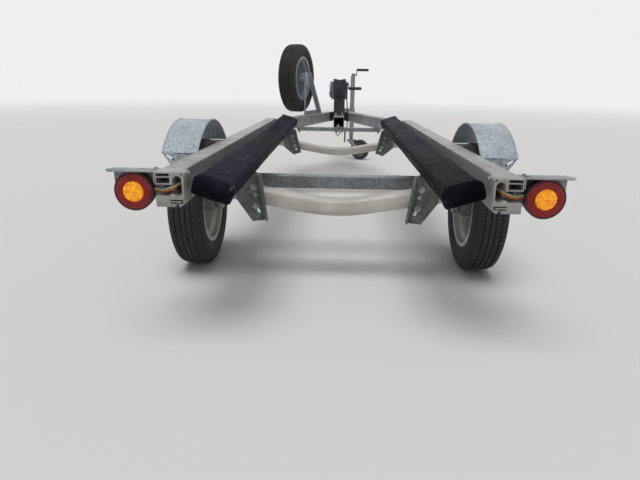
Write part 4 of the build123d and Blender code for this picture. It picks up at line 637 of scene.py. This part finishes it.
@dataclass
class RoadTyre:
    """A ribbed road tyre for one wheel, drawn about the X axis with its outboard side at +X."""

    radius: float = 0.281
    half: float = 0.0725
    tread_half: float = 0.056
    bead_half: float = 0.0567
    bead_radius: float = 0.1688
    rim_lip: float = 0.182
    wall: float = 0.008
    steps: int = 160
    groove_depth: float = 0.006

    def outline(self) -> list[tuple[float, float]]:
        """The whole section, outside and then back inside, as along-X and radius."""
        crown, shoulder = self.radius, self.radius - 0.009
        belly = (crown + self.rim_lip) / 2 - 0.006
        wall = [
            (self.bead_half, self.bead_radius), (self.bead_half, self.rim_lip), (0.0608, 0.188),
            (0.0655, 0.196), (0.0663, 0.1975), (0.0672, 0.1985), (0.0700, 0.207), (0.0716, 0.216),
            (self.half, belly), (0.0719, 0.238), (0.0698, 0.249), (0.0690, 0.2505), (0.0683, 0.252),
            (0.0655, 0.2605), (0.0632, 0.2650), (self.tread_half + 0.0025, shoulder + 0.0012),
        ]
        tread = [(0.0530, crown - 0.0048), (0.0445, crown - 0.0014)]
        for middle, half, ribs in ((0.0335, 0.0026, (0.0265, 0.0185)), (0.0110, 0.0029, (0.0040,))):
            for edge, depth in ((1.0, 0.0), (0.74, 1.0), (-0.74, 1.0), (-1.0, 0.0)):
                x = middle + half * edge
                rounding = 0.0016 * (abs(x) / 0.05) ** 2
                tread.append((x, crown - rounding - depth * self.groove_depth))
            tread.extend((x, crown - 0.0016 * (x / 0.05) ** 2) for x in ribs)
        right = wall + tread
        left = [(-x, r) for x, r in reversed(right)]
        inside = [
            (-self.bead_half + 0.012, self.bead_radius), (-self.bead_half + 0.010, self.rim_lip),
            (-self.half + self.wall, belly), (-self.tread_half + 0.006, shoulder - 0.008),
            (self.tread_half - 0.006, shoulder - 0.008), (self.half - self.wall, belly),
            (self.bead_half - 0.010, self.rim_lip), (self.bead_half - 0.012, self.bead_radius),
        ]
        return right + left + inside

    def mesh(self) -> bmesh.types.BMesh:
        """The whole tyre at the origin."""
        made = bmesh.new()
        shape = section(made, [(x, 0.0, radius) for x, radius in self.outline()])
        spin(made, shape, (1, 0, 0), self.steps)
        bmesh.ops.remove_doubles(made, verts=made.verts, dist=SEAM)
        self._zigzag(made)
        self._cut_sipes(made)
        return made

    def _zigzag(self, mesh: bmesh.types.BMesh) -> None:
        """Move the groove edges from side to side along the tread."""
        for vert in mesh.verts:
            reach = math.hypot(vert.co.y, vert.co.z)
            width = abs(vert.co.x)
            if reach < self.radius - 0.010:
                continue
            step = round(math.atan2(vert.co.y, vert.co.z) / math.tau * self.steps)
            if 0.0075 < width < 0.0145 or 0.0300 < width < 0.0370:
                vert.co.x += (0.0007, 0.0, -0.0007, 0.0)[step % 4]

    def _cut_sipes(self, mesh: bmesh.types.BMesh) -> None:
        """Cut short slots across the shoulders at every second step, across the ribs at every third."""
        bmesh.ops.recalc_face_normals(mesh, faces=mesh.faces)
        chosen = []
        for face in mesh.faces:
            middle = face.calc_center_median()
            reach = math.hypot(middle.y, middle.z)
            if reach < self.radius - 0.0068 or len(face.verts) != 4:
                continue
            step = math.floor(math.atan2(middle.y, middle.z) / math.tau * self.steps)
            width = abs(middle.x)
            shoulder = 0.037 < width < 0.0555 and step % 2 == 0
            inner = 0.0180 < width < 0.0270 and step % 3 == 1
            if shoulder or inner:
                chosen.append(face)
        bmesh.ops.inset_individual(mesh, faces=chosen, thickness=0.0034, depth=-0.0024)

    def build(self, name: str, body: str, place_at: Matrix) -> bpy.types.Object:
        """Build the tyre as a piece that replaces its CAD node."""
        made = self.mesh()
        bmesh.ops.transform(made, matrix=place_at, verts=made.verts)
        piece = to_object(made, f"{name}_tread", Finish.TYRE, body, 32.0)
        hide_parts(name)
        return piece


@dataclass
class Wheels:
    """The two road wheels' tyres, the spare's tyre and the wheel bolts."""

    track: float = 1.250
    ahead_mm: float = 770.0
    height: float = 0.281
    arm_front_mm: float = 3770.0
    bend_mm: float = 2400.0
    rail_x: float = 0.505
    arm_end_x: float = 0.095
    spare_back: float = 0.682
    spare_outboard: float = 0.088
    spare_height: float = 0.837
    disc_face: float = 0.0335
    bolt_circle: float = 0.049

    def place(self, side: Side) -> Matrix:
        """Where a road wheel stands."""
        spot = Matrix.Translation((side.value * self.track / 2, ahead(self.ahead_mm), self.height))
        turned = Matrix.Rotation(math.pi, 4, "Z") if side is Side.LEFT else Matrix.Identity(4)
        return spot @ turned

    def spare_place(self) -> Matrix:
        """Where the spare wheel stands, its deep side towards the middle of the trailer."""
        reach = (self.arm_front_mm - self.bend_mm) * MM
        angle = math.atan((self.rail_x - self.arm_end_x) / reach)
        along = Vector((math.sin(angle), math.cos(angle), 0))
        across = Vector((math.cos(angle), -math.sin(angle), 0))
        spot = Vector((-self.rail_x, ahead(self.bend_mm), self.spare_height))
        spot += along * (reach / math.cos(angle) - self.spare_back) - across * self.spare_outboard
        return Matrix.Translation(spot) @ Matrix.Rotation(math.pi - angle, 4, "Z")

    def bolts(self, name: str, body: str, place_at: Matrix) -> None:
        """The four bolts that hold one wheel."""
        made = bmesh.new()
        bolt = Bolt(0.017, 0.011, 0.013)
        for turn in (0.25, 0.75, 1.25, 1.75):
            angle = math.pi * turn
            across, up = self.bolt_circle * math.cos(angle), self.bolt_circle * math.sin(angle)
            bolt.add(made, Vector((self.disc_face, across, up)), Vector((1, 0, 0)))
        bmesh.ops.transform(made, matrix=place_at, verts=made.verts)
        to_object(made, name, Finish.BOLT, body, 30.0)

    def build(self) -> None:
        """Build the tyres and the wheel bolts."""
        tyre = RoadTyre()
        for side in Side:
            tyre.build(f"tyre_{side.word}", f"wheel_{side.word}", self.place(side))
            self.bolts(f"wheel_bolts_{side.word}", f"wheel_{side.word}", self.place(side))
        tyre.build("spare_tyre", CHASSIS, self.spare_place())
        self.bolts("spare_wheel_bolts", CHASSIS, self.spare_place())
        carrier = bmesh.new()
        for along in (0.030, 0.150, 0.270):
            spot = self.spare_place() @ Vector((-0.1035, -along, 0.535 - self.spare_height))
            Bolt(0.015, 0.007, 0.0115, 0.007).add(carrier, spot, Vector((0, 0, 1)))
        to_object(carrier, "carrier_bolts", Finish.BOLT, CHASSIS, 30.0)


@dataclass
class Bunks:
    """The two padded bunks: a board wrapped in foam and vinyl, swollen by simulation."""

    width: float = 0.138
    thickness: float = 0.064
    length: float = 2.410
    rise: float = 0.040
    tilt: float = 17.5
    top_x: float = 0.366
    top_z: float = 0.520
    rear_mm: float = 5.0
    corner: float = 0.012
    inset: float = 0.0035
    voxel: float = 0.0075
    cap: float = 0.007
    pressure: float = 4.0
    frames: int = 20

    def frame_of(self, side: Side) -> Matrix:
        """The bunk's own axes: X across towards the outside, Y forward, Z up, from the rear top middle."""
        tilt = math.radians(self.tilt)
        forward = Vector((0.0, self.length, self.rise)).normalized()
        across = Vector((side.value * math.cos(tilt), 0.0, math.sin(tilt)))
        up = Vector((-side.value * math.sin(tilt), 0.0, math.cos(tilt)))
        up = (up - forward * up.dot(forward)).normalized()
        axes = Matrix((across, forward, up)).transposed().to_4x4()
        return Matrix.Translation((side.value * self.top_x, ahead(self.rear_mm), self.top_z)) @ axes

    def core(self) -> bmesh.types.BMesh:
        """The unswollen pad in its own axes."""
        made = bmesh.new()
        bmesh.ops.create_cube(made, size=1.0)
        size = (self.width - 2 * self.inset, self.length - 2 * self.inset, self.thickness - 2 * self.inset)
        bmesh.ops.scale(made, vec=size, verts=made.verts)
        bmesh.ops.translate(made, vec=(0, self.length / 2, -self.thickness / 2), verts=made.verts)
        lengthwise = [e for e in made.edges if abs((e.verts[0].co - e.verts[1].co).y) > 1.0]
        bmesh.ops.bevel(made, geom=lengthwise, offset=self.corner - self.inset, affect="EDGES", segments=5,
                        profile=0.5, material=-1)
        ends = [e for e in made.edges if e.calc_face_angle(0.0) > 1.2]
        bmesh.ops.bevel(made, geom=ends, offset=0.004, affect="EDGES", segments=3, profile=0.5, material=-1)
        return made

    def swell(self) -> bpy.types.Object:
        """Remesh the pad and swell it by simulation, in its own axes."""
        core = self.core()
        bmesh.ops.recalc_face_normals(core, faces=core.faces)
        data = bpy.data.meshes.new("pad_core")
        core.to_mesh(data)
        core.free()
        pad = bpy.data.objects.new("pad_core", data)
        bpy.context.scene.collection.objects.link(pad)
        remesh = pad.modifiers.new("remesh", "REMESH")
        remesh.mode = "VOXEL"
        remesh.voxel_size = self.voxel
        remesh.use_smooth_shade = True
        self._bake(pad)
        rest = [v.co.copy() for v in pad.data.vertices]
        cloth = pad.modifiers.new("swell", "CLOTH")
        cloth.settings.use_pressure = True
        cloth.settings.uniform_pressure_force = self.pressure
        cloth.settings.effector_weights.gravity = 0.0
        cloth.settings.quality = 5
        scene = bpy.context.scene
        for number in range(1, self.frames + 1):
            scene.frame_set(number)
        self._bake(pad)
        scene.frame_set(1)
        for vert, was in zip(pad.data.vertices, rest):
            move = vert.co - was
            if move.length > self.cap:
                vert.co = was + move * (self.cap / move.length)
        return pad

    @staticmethod
    def _bake(pad: bpy.types.Object) -> None:
        """Replace the mesh by what its modifiers make of it."""
        graph = bpy.context.evaluated_depsgraph_get()
        settled = bpy.data.meshes.new_from_object(pad.evaluated_get(graph))
        pad.modifiers.clear()
        pad.data = settled

    def folds(self, where: Vector, seed: float) -> float:
        """Depth in metres of the wrap's soft folds at a point of the pad's own axes."""
        slow = noise.noise(Vector((where.x * 9.0 + seed, where.y * 2.2, where.z * 9.0)))
        cross = noise.noise(Vector((where.x * 16.0, where.y * 17.0 + seed, where.z * 16.0)))
        fine = noise.noise(Vector((where.x * 60.0 + where.y * 22.0, where.y * 26.0 - seed, where.z * 50.0)))
        near_end = math.exp(-min(where.y, self.length - where.y) / 0.10)
        return 0.0016 * slow + 0.0012 * cross + 0.0006 * fine + 0.0016 * near_end * cross

    def build(self) -> None:
        """Build both bunks."""
        pad = self.swell()
        for side, seed in ((Side.LEFT, 3.1), (Side.RIGHT, 8.7)):
            made = bmesh.new()
            made.from_mesh(pad.data)
            made.normal_update()
            moves = [(v, v.normal * self.folds(v.co, seed)) for v in made.verts]
            for vert, move in moves:
                vert.co += move
                vert.co.z = max(vert.co.z, -self.thickness + 0.0006)
                vert.co.y = min(max(vert.co.y, 0.0006), self.length - 0.0006)
            bmesh.ops.smooth_vert(made, verts=made.verts, factor=0.4, use_axis_x=True, use_axis_y=True,
                                  use_axis_z=True)
            bmesh.ops.transform(made, matrix=self.frame_of(side), verts=made.verts)
            piece = to_object(made, f"bunk_pad_{side.word}", Finish.VINYL, CHASSIS, 80.0)
            smooth = piece.modifiers.new("soften", "SUBSURF")
            smooth.levels = smooth.render_levels = 1
            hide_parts(f"bunk_{side.word}")
        bpy.data.objects.remove(pad)


@dataclass
class Lamps:
    """Round rear lamps: a red ring with its row of diodes and a faceted amber middle."""

    x: float = 0.622
    z: float = 0.479
    rear_mm: float = 34.0
    lens_radius: float = 0.0559
    amber_radius: float = 0.032
    diodes: int = 24
    diode_radius: float = 0.0021

    def centre(self, side: Side) -> Vector:
        """Rear middle of the lens."""
        return Vector((side.value * self.x, ahead(self.rear_mm), self.z))

    def _turned(self, points: list[tuple[float, float]], side: Side, steps: int) -> bmesh.types.BMesh:
        """Spin a section given as radius and distance ahead of the lens plane about the lamp's axis."""
        made = bmesh.new()
        spin(made, section(made, [(radius, depth, 0.0) for radius, depth in points]), (0, 1, 0), steps)
        bmesh.ops.remove_doubles(made, verts=made.verts, dist=SEAM)
        bmesh.ops.translate(made, vec=self.centre(side), verts=made.verts)
        return made

    def ring(self, side: Side) -> bpy.types.Object:
        """The red ring with three shallow steps."""
        outer, inner = self.lens_radius, self.amber_radius + 0.0004
        points = [
            (inner, 0.0076), (outer, 0.0076), (outer, 0.0012), (outer - 0.002, -0.0006),
            (outer - 0.0035, -0.0012), (outer - 0.0040, -0.0008), (outer - 0.0120, -0.0040),
            (outer - 0.0124, -0.0034), (inner + 0.005, -0.0049), (inner + 0.0015, -0.0045), (inner, -0.0030),
        ]
        made = self._turned(points, side, 96)
        return to_object(made, f"lamp_ring_{side.word}", Finish.RED_LENS, CHASSIS)

    def middle(self, side: Side) -> bpy.types.Object:
        """The amber middle with its raised beads over the diodes."""
        radius = self.amber_radius - 0.0002
        points = [
            (0.0002, 0.0076), (radius, 0.0076), (radius, -0.0030), (radius - 0.003, -0.0062),
            (0.0002, -0.0068),
        ]
        made = self._turned(points, side, 72)
        self._beads(made, side, ((0.0, 1), (0.009, 6), (0.0175, 12), (0.0255, 18)), 0.0030, -0.0070)
        return to_object(made, f"lamp_middle_{side.word}", Finish.AMBER_LENS, CHASSIS, 50.0)

    def _beads(self, mesh: bmesh.types.BMesh, side: Side, rings: tuple[tuple[float, int], ...], size: float,
               depth: float) -> None:
        """Add small domes in rings round the lamp's axis."""
        centre = self.centre(side)
        for reach, count in rings:
            for index in range(count):
                angle = math.tau * index / count
                spot = centre + Vector((reach * math.cos(angle), depth + 0.0012, reach * math.sin(angle)))
                squash = Matrix.Translation(spot) @ Matrix.Diagonal((1.0, 0.7, 1.0, 1.0))
                bmesh.ops.create_icosphere(mesh, subdivisions=2, radius=size, matrix=squash)

    def build(self) -> None:
        """Build both lamps' lenses."""
        rings, middles = [], []
        for side in Side:
            rings.append(self.ring(side))
            middles.append(self.middle(side))
            made = bmesh.new()
            self._beads(made, side, ((0.0435, self.diodes),), self.diode_radius, -0.0030)
            to_object(made, f"lamp_diodes_{side.word}", Finish.DIODE, CHASSIS)
        for piece in rings:
            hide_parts("lamp_red_lenses")
        for piece in middles:
            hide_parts("lamp_amber_lenses")


@dataclass
class Winch:
    """The strap wound on the winch's drum."""

    axis_mm: float = 3300.0
    axis_z: float = 0.735
    core: float = 0.0235
    outer: float = 0.0436
    strap_half: float = 0.0245
    turns: int = 9
    steps: int = 48
    strap_share: float = 0.8

    def build(self) -> None:
        """Build the wound strap as a growing coil in place of its solid."""
        made = bmesh.new()
        pitch = (self.outer - self.core) / self.turns
        top = self.core + pitch * self.strap_share
        geom = section(made, [
            (-self.strap_half, 0.0, self.core), (self.strap_half, 0.0, self.core),
            (self.strap_half, 0.0, top), (-self.strap_half, 0.0, top),
        ])
        turn = Matrix.Rotation(math.tau / self.steps, 3, "X")
        for _ in range((self.turns - 1) * self.steps):
            edges = [item for item in geom if isinstance(item, bmesh.types.BMEdge)]
            geom = bmesh.ops.extrude_edge_only(made, edges=edges)["geom"]
            verts = [item for item in geom if isinstance(item, bmesh.types.BMVert)]
            bmesh.ops.rotate(made, cent=(0, 0, 0), matrix=turn, verts=verts)
            for vert in verts:
                reach = math.hypot(vert.co.y, vert.co.z)
                grown = (reach + pitch / self.steps) / reach
                vert.co.y *= grown
                vert.co.z *= grown
        bmesh.ops.holes_fill(made, edges=made.edges, sides=4)
        bmesh.ops.translate(made, vec=(0, ahead(self.axis_mm), self.axis_z), verts=made.verts)
        piece = to_object(made, "winch_strap_coil", Finish.WEBBING, "winch_drum")
        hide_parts("winch_strap")


class Axis3(Enum):
    """Directions that a bolt's head can face."""

    REAR = (0.0, -1.0, 0.0)
    FRONT = (0.0, 1.0, 0.0)
    UP = (0.0, 0.0, 1.0)
    DOWN = (0.0, 0.0, -1.0)
    RIGHT = (1.0, 0.0, 0.0)
    LEFT = (-1.0, 0.0, 0.0)


WASHER_THICKNESS = 0.0016


@dataclass(frozen=True)
class Bolt:
    """A hexagon bolt head or nut on a washer, with a short thread end."""

    flats: float
    height: float
    washer: float
    thread: float = 0.0

    def add(self, mesh: bmesh.types.BMesh, spot: Vector, facing: Vector) -> None:
        """Add the bolt to a mesh.

        Args:
            mesh: where it goes.
            spot: the middle of the surface that it sits on.
            facing: direction from the surface out to the head.
        """
        turn = Vector((0, 0, 1)).rotation_difference(facing).to_matrix().to_4x4()
        corner = self.flats / 2 / math.cos(math.pi / 6)
        rows = [(24, self.washer, 0.0, WASHER_THICKNESS), (6, corner, WASHER_THICKNESS, self.height)]
        if self.thread:
            rows.append((12, self.flats * 0.29, WASHER_THICKNESS + self.height, self.thread))
        for sides, radius, low, tall in rows:
            place_at = Matrix.Translation(spot) @ turn @ Matrix.Translation((0, 0, low + tall / 2))
            made = bmesh.ops.create_cone(mesh, cap_ends=True, segments=sides, radius1=radius, radius2=radius,
                                         depth=tall, matrix=place_at)
            ring = {e for v in made["verts"] for e in v.link_edges}
            top = [e for e in ring if all((v.co - spot).dot(facing) > low + tall * 0.9 for v in e.verts)]
            bmesh.ops.bevel(mesh, geom=top, offset=min(tall * 0.25, 0.001), affect="EDGES", segments=1,
                            profile=0.5, material=-1)


@dataclass
class Fasteners:
    """The bolts and nuts that hold the trailer together."""

    small: Bolt = Bolt(flats=0.010, height=0.005, washer=0.0085)
    medium: Bolt = Bolt(flats=0.013, height=0.006, washer=0.0095, thread=0.006)
    large: Bolt = Bolt(flats=0.018, height=0.008, washer=0.0135, thread=0.009)
    hitch: Bolt = Bolt(flats=0.024, height=0.014, washer=0.016, thread=0.008)
    clamp_x: float = 0.4955
    # Each loop's X in millimetres, its Z, radius and lengthening in metres, and its turn in degrees
    loops: tuple[tuple[float, ...], ...] = (
        (-6.0, 0.393, 0.015, 0.003, 35.0), (54.0, 0.366, 0.011, 0.036, 70.0),
    )

    @staticmethod
    def row(name: str, bolt: Bolt, facing: Axis3, spots: tuple[Point, ...], mirrored: bool = True) -> None:
        """One piece of equal bolts.

        Args:
            name: the piece's name.
            bolt: the size of all of them.
            facing: the way their heads face on the right side.
            spots: X, millimetres ahead of the rail ends and Z, in millimetres.
            mirrored: whether each has a twin on the left side.
        """
        made = bmesh.new()
        for x, distance, z in spots:
            for hand in (1, -1) if mirrored else (1,):
                way = Vector((facing.value[0] * hand, facing.value[1], facing.value[2]))
                bolt.add(made, Vector((hand * x * MM, ahead(distance), z * MM)), way)
        to_object(made, name, Finish.BOLT, CHASSIS, 30.0)

    def axle_clamps(self) -> None:
        """The plates under the axle tube and the rods that hold them up to the mounts."""
        made = bmesh.new()
        for side in Side:
            x = side.value * self.clamp_x
            flat = Matrix.Translation((x, ahead(910.0), 0.3215))
            bmesh.ops.create_cube(made, size=1.0, matrix=flat @ Matrix.Diagonal((0.033, 0.108, 0.008, 1.0)))
            for distance in (868.0, 952.0):
                rod = Matrix.Translation((x, ahead(distance), 0.368))
                bmesh.ops.create_cone(made, cap_ends=True, segments=16, radius1=0.006, radius2=0.006,
                                      depth=0.118, matrix=rod)
        to_object(made, "axle_clamps", Finish.ZINC, CHASSIS, 30.0)

    def hitch_loops(self) -> None:
        """The two loops of rod that hang below the drawbar's rear end."""
        made = bmesh.new()
        rod, steps = 0.0035, 28
        for x, z, reach, longer, turn in self.loops:
            before = len(made.verts)
            round_rod = [math.tau * step / 10 for step in range(10)]
            shape = section(made, [(reach + rod * math.cos(a), 0.0, rod * math.sin(a)) for a in round_rod])
            spin(made, shape, (0, 0, 1), steps)
            made.verts.ensure_lookup_table()
            ring = made.verts[before:]
            upright = Matrix.Rotation(math.pi / 2, 3, "X") @ Matrix.Rotation(math.pi / steps, 3, "Z")
            bmesh.ops.rotate(made, cent=(0, 0, 0), matrix=upright, verts=ring)
            for vert in ring:
                vert.co.z += math.copysign(longer, vert.co.z)
            spot = Matrix.Translation((x * MM, ahead(2930.0), z))
            turned = Matrix.Rotation(math.radians(turn), 4, "Z")
            bmesh.ops.transform(made, matrix=spot @ turned, verts=ring)
        # The loops take the zinc's darker copy, which is painted shade
        to_object(made, "hitch_loops", Finish.PLATE, CHASSIS, 50.0)

    def build(self) -> None:
        """Build the bolts by the piece that they hold."""
        self.row("bracket_bolts", self.large, Axis3.REAR, (
            (345, 575, 392), (334.5, 575, 311), (340, 2295, 426), (321.5, 2295, 357)))
        self.row("bracket_screws", self.small, Axis3.REAR, ((337, 575, 358), (332, 2295, 392)))
        self.row("stay_bolts", self.medium, Axis3.REAR, ((635, 512.6, 517), (600, 512.6, 517)))
        self.row("lamp_plate_screws", self.small, Axis3.UP, ((560, 40, 544), (560, 68, 544)))
        self.row("post_bolts", self.large, Axis3.UP, ((28, 3132, 536), (28, 3238, 536)))
        self.row("winch_bolts", self.medium, Axis3.FRONT, ((28, 3224, 684), (28, 3224, 803)))
        self.row("gear_case_screws", self.small, Axis3.LEFT, (
            (-88, 3259, 715), (-88, 3281, 778), (-88, 3318, 692), (-88, 3341, 724)), mirrored=False)
        self.row("clamp_bolts", self.medium, Axis3.RIGHT, (
            (53, 4150, 466), (53, 4150, 506), (53, 4230, 466), (53, 4230, 506)), mirrored=False)
        self.row("coupling_bolts", self.large, Axis3.RIGHT, ((50, 4354, 486), (50, 4398, 486)))
        self.row("tie_bolts", self.large, Axis3.DOWN, ((338, 2930, 410), (24, 2930, 410)))
        self.row("drawbar_nut", self.hitch, Axis3.UP, ((-4, 2916, 446),), mirrored=False)
        self.axle_clamps()
        self.row("axle_clamp_nuts", self.large, Axis3.DOWN, ((495.5, 868, 317.5), (495.5, 952, 317.5)))
        self.hitch_loops()


@dataclass(frozen=True)
class Lead:
    """One cable, its route given as X, distance ahead of the rail ends and Z, all in millimetres."""

    name: str
    node: str
    finish: Finish
    slot: str
    diameter: float
    length: float
    points: tuple[Point, ...]
    far_end: str = "object"
    stiffness: str = "limp"
    with_nodes: tuple[str, ...] = ()

    def build(self, side: Side = Side.RIGHT) -> None:
        """Build the cable as a smooth curve in place of its solid.

        Args:
            side: the left side takes the route's mirror image.
        """
        curve = bpy.data.curves.new(self.name, "CURVE")
        curve.dimensions = "3D"
        curve.bevel_depth = self.diameter / 2
        curve.bevel_resolution = 4
        curve.use_fill_caps = True
        curve.materials.append(self.finish.material())
        line = curve.splines.new("NURBS")
        line.points.add(len(self.points) - 1)
        spots = [(side.value * x * MM, ahead(distance), z * MM) for x, distance, z in self.points]
        for point, spot in zip(line.points, spots):
            point.co = (*spot, 1.0)
        line.order_u = 3
        line.use_endpoint_u = True
        line.resolution_u = 10
        piece = bpy.data.objects.new(self.name, curve)
        bpy.context.scene.collection.objects.link(piece)
        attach(piece, CHASSIS)
        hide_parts(self.node)
        log.info("cable %s, %d points", self.name, len(spots))


@dataclass(frozen=True)
class Cables:
    """The trailer's lead with its parked plug, and the lamp wires at both open rail ends."""

    lead_route: tuple[Point, ...] = (
        (57, 2952.3, 425.5), (57, 2986, 425.5), (60, 3025, 414), (66, 3080, 410), (70, 3130, 413),
        (73, 3174, 424), (76, 3198, 455), (79, 3204, 502), (76, 3199, 557), (70, 3196, 610),
        (69, 3200, 661), (60.3, 3200, 704), (60.3, 3200, 746),
    )
    notch_z: float = 494.0
    wire_spacing: float = 5.0
    wire_run: tuple[Point, ...] = (
        (475, 64, 13), (479, 45, 12), (480, 26, 9), (489, 9, 5), (508, 6, -3), (530, 18, -9), (546, 46, -11),
    )

    @staticmethod
    def joint() -> None:
        """The pale sleeve over the joint of the left wires."""
        start, end = Vector((-0.474, ahead(30.0), 0.5085)), Vector((-0.495, ahead(4.0), 0.4985))
        turn = Vector((0, 0, 1)).rotation_difference(end - start).to_matrix().to_4x4()
        made = bmesh.new()
        bmesh.ops.create_cone(made, cap_ends=True, segments=20, radius1=0.0034, radius2=0.0046,
                              depth=(end - start).length, matrix=Matrix.Translation((start + end) / 2) @ turn)
        to_object(made, "wire_sleeve", Finish.SLEEVE, CHASSIS, 30.0)

    def build(self) -> None:
        """Build every cable."""
        self.joint()
        Lead("lead_cable", "trailer_lead", Finish.CABLE, "black_plastic", 0.009, 0.555, self.lead_route,
             far_end="plug", stiffness="medium", with_nodes=("trailer_plug",)).build()
        wires = (
            # colour, place in the notch, X of the lamp's side, finish
            ("red", -1, 560.7, Finish.RED_WIRE), ("yellow", 0, 560.8, Finish.YELLOW_WIRE),
            ("white", 1, 561.4, Finish.WHITE_WIRE),
        )
        for colour, place_in, lamp_x, finish in wires:
            middle = self.notch_z + place_in * self.wire_spacing
            route = tuple((x, distance, middle + rise) for x, distance, rise in self.wire_run)
            route += ((lamp_x, route[-1][1], route[-1][2]),)
            for side in Side:
                Lead(f"lamp_wire_{colour}_{side.word}", f"lamp_wires_{colour}", finish, f"wire_{colour}",
                     0.0026, 0.1485, route).build(side)


@dataclass(frozen=True)
class Studio:
    """The floor, the lights and the camera at the photograph's viewpoint."""

    eye: Point = (0.0008, -3.727, 0.8025)
    pitch: float = 17.43
    yaw: float = 1.94
    roll: float = 0.75
    lens: float = 28.125
    floor_radius: float = 45.0
    backdrop: Colour = (0.86, 0.86, 0.87)

    def camera(self) -> None:
        """Place the camera."""
        data = bpy.data.cameras.new("camera")
        data.lens = self.lens
        data.sensor_width = 36.0
        data.clip_end = 200.0
        eye = bpy.data.objects.new("camera", data)
        bpy.context.scene.collection.objects.link(eye)
        turn = (Matrix.Rotation(math.radians(self.yaw), 4, "Z")
                @ Matrix.Rotation(math.radians(90.0 - self.pitch), 4, "X")
                @ Matrix.Rotation(math.radians(self.roll), 4, "Z"))
        eye.matrix_world = Matrix.Translation(self.eye) @ turn
        bpy.context.scene.camera = eye

    def floor(self) -> None:
        """A pale floor that fades into the backdrop far out."""
        mesh = bmesh.new()
        bmesh.ops.create_circle(mesh, cap_ends=True, segments=96, radius=self.floor_radius)
        data = bpy.data.meshes.new("floor")
        mesh.to_mesh(data)
        mesh.free()
        floor = bpy.data.objects.new("floor", data)
        bpy.context.scene.collection.objects.link(floor)
        material, graph, shader = new_material("floor_finish")
        shader.inputs["Base Color"].default_value = (0.64, 0.63, 0.62, 1.0)
        shader.inputs["Roughness"].default_value = 0.85
        glow = graph.add("ShaderNodeEmission")
        glow.inputs["Color"].default_value = (*self.backdrop, 1.0)
        reach = graph.add("ShaderNodeVectorMath", operation="LENGTH")
        graph.feed(reach.inputs[0], graph.add("ShaderNodeTexCoord").outputs["Object"])
        fade = graph.span(reach.outputs["Value"], 6.0, 24.0)
        mixed = graph.add("ShaderNodeMixShader")
        graph.feed(mixed.inputs[0], fade)
        graph.feed(mixed.inputs[1], shader.outputs[0])
        graph.feed(mixed.inputs[2], glow.outputs[0])
        output = next(node for node in material.node_tree.nodes if node.type == "OUTPUT_MATERIAL")
        graph.feed(output.inputs["Surface"], mixed.outputs[0])
        data.materials.append(material)

    def lights(self) -> None:
        """Soft light from above and a pale world."""
        world = bpy.data.worlds.new("studio")
        bpy.context.scene.world = world
        world.use_nodes = True
        graph = Graph(world.node_tree)
        background = next(node for node in world.node_tree.nodes if node.type == "BACKGROUND")
        path = graph.add("ShaderNodeLightPath")
        graph.feed(background.inputs["Color"], self.backdrop)
        seen = graph.math("ADD", path.outputs["Is Camera Ray"], path.outputs["Is Glossy Ray"])
        seen = graph.math("ADD", seen, path.outputs["Is Transmission Ray"])
        graph.feed(background.inputs["Strength"], graph.span(seen, 0.0, 1.0, 0.38, 1.0))
        for name, strength, spread, angles in (
            ("key", 2.1, 40.0, (12.0, -6.0, 0.0)), ("fill", 0.15, 80.0, (50.0, 20.0, 0.0)),
        ):
            data = bpy.data.lights.new(name, "SUN")
            data.energy = strength
            data.angle = math.radians(spread)
            lamp = bpy.data.objects.new(name, data)
            bpy.context.scene.collection.objects.link(lamp)
            lamp.visible_glossy = False
            lamp.rotation_euler = [math.radians(angle) for angle in angles]

    def build(self) -> None:
        """Set up the whole studio."""
        self.camera()
        self.floor()
        self.lights()
        bpy.context.scene.view_settings.view_transform = "Standard"


def main() -> None:
    """Build the trailer's looks in order."""
    Studio().build()
    Cables().build()
    dress_nodes()
    Wheels().build()
    Bunks().build()
    Lamps().build()
    Winch().build()
    Fasteners().build()


if __name__ == "__main__":
    main()
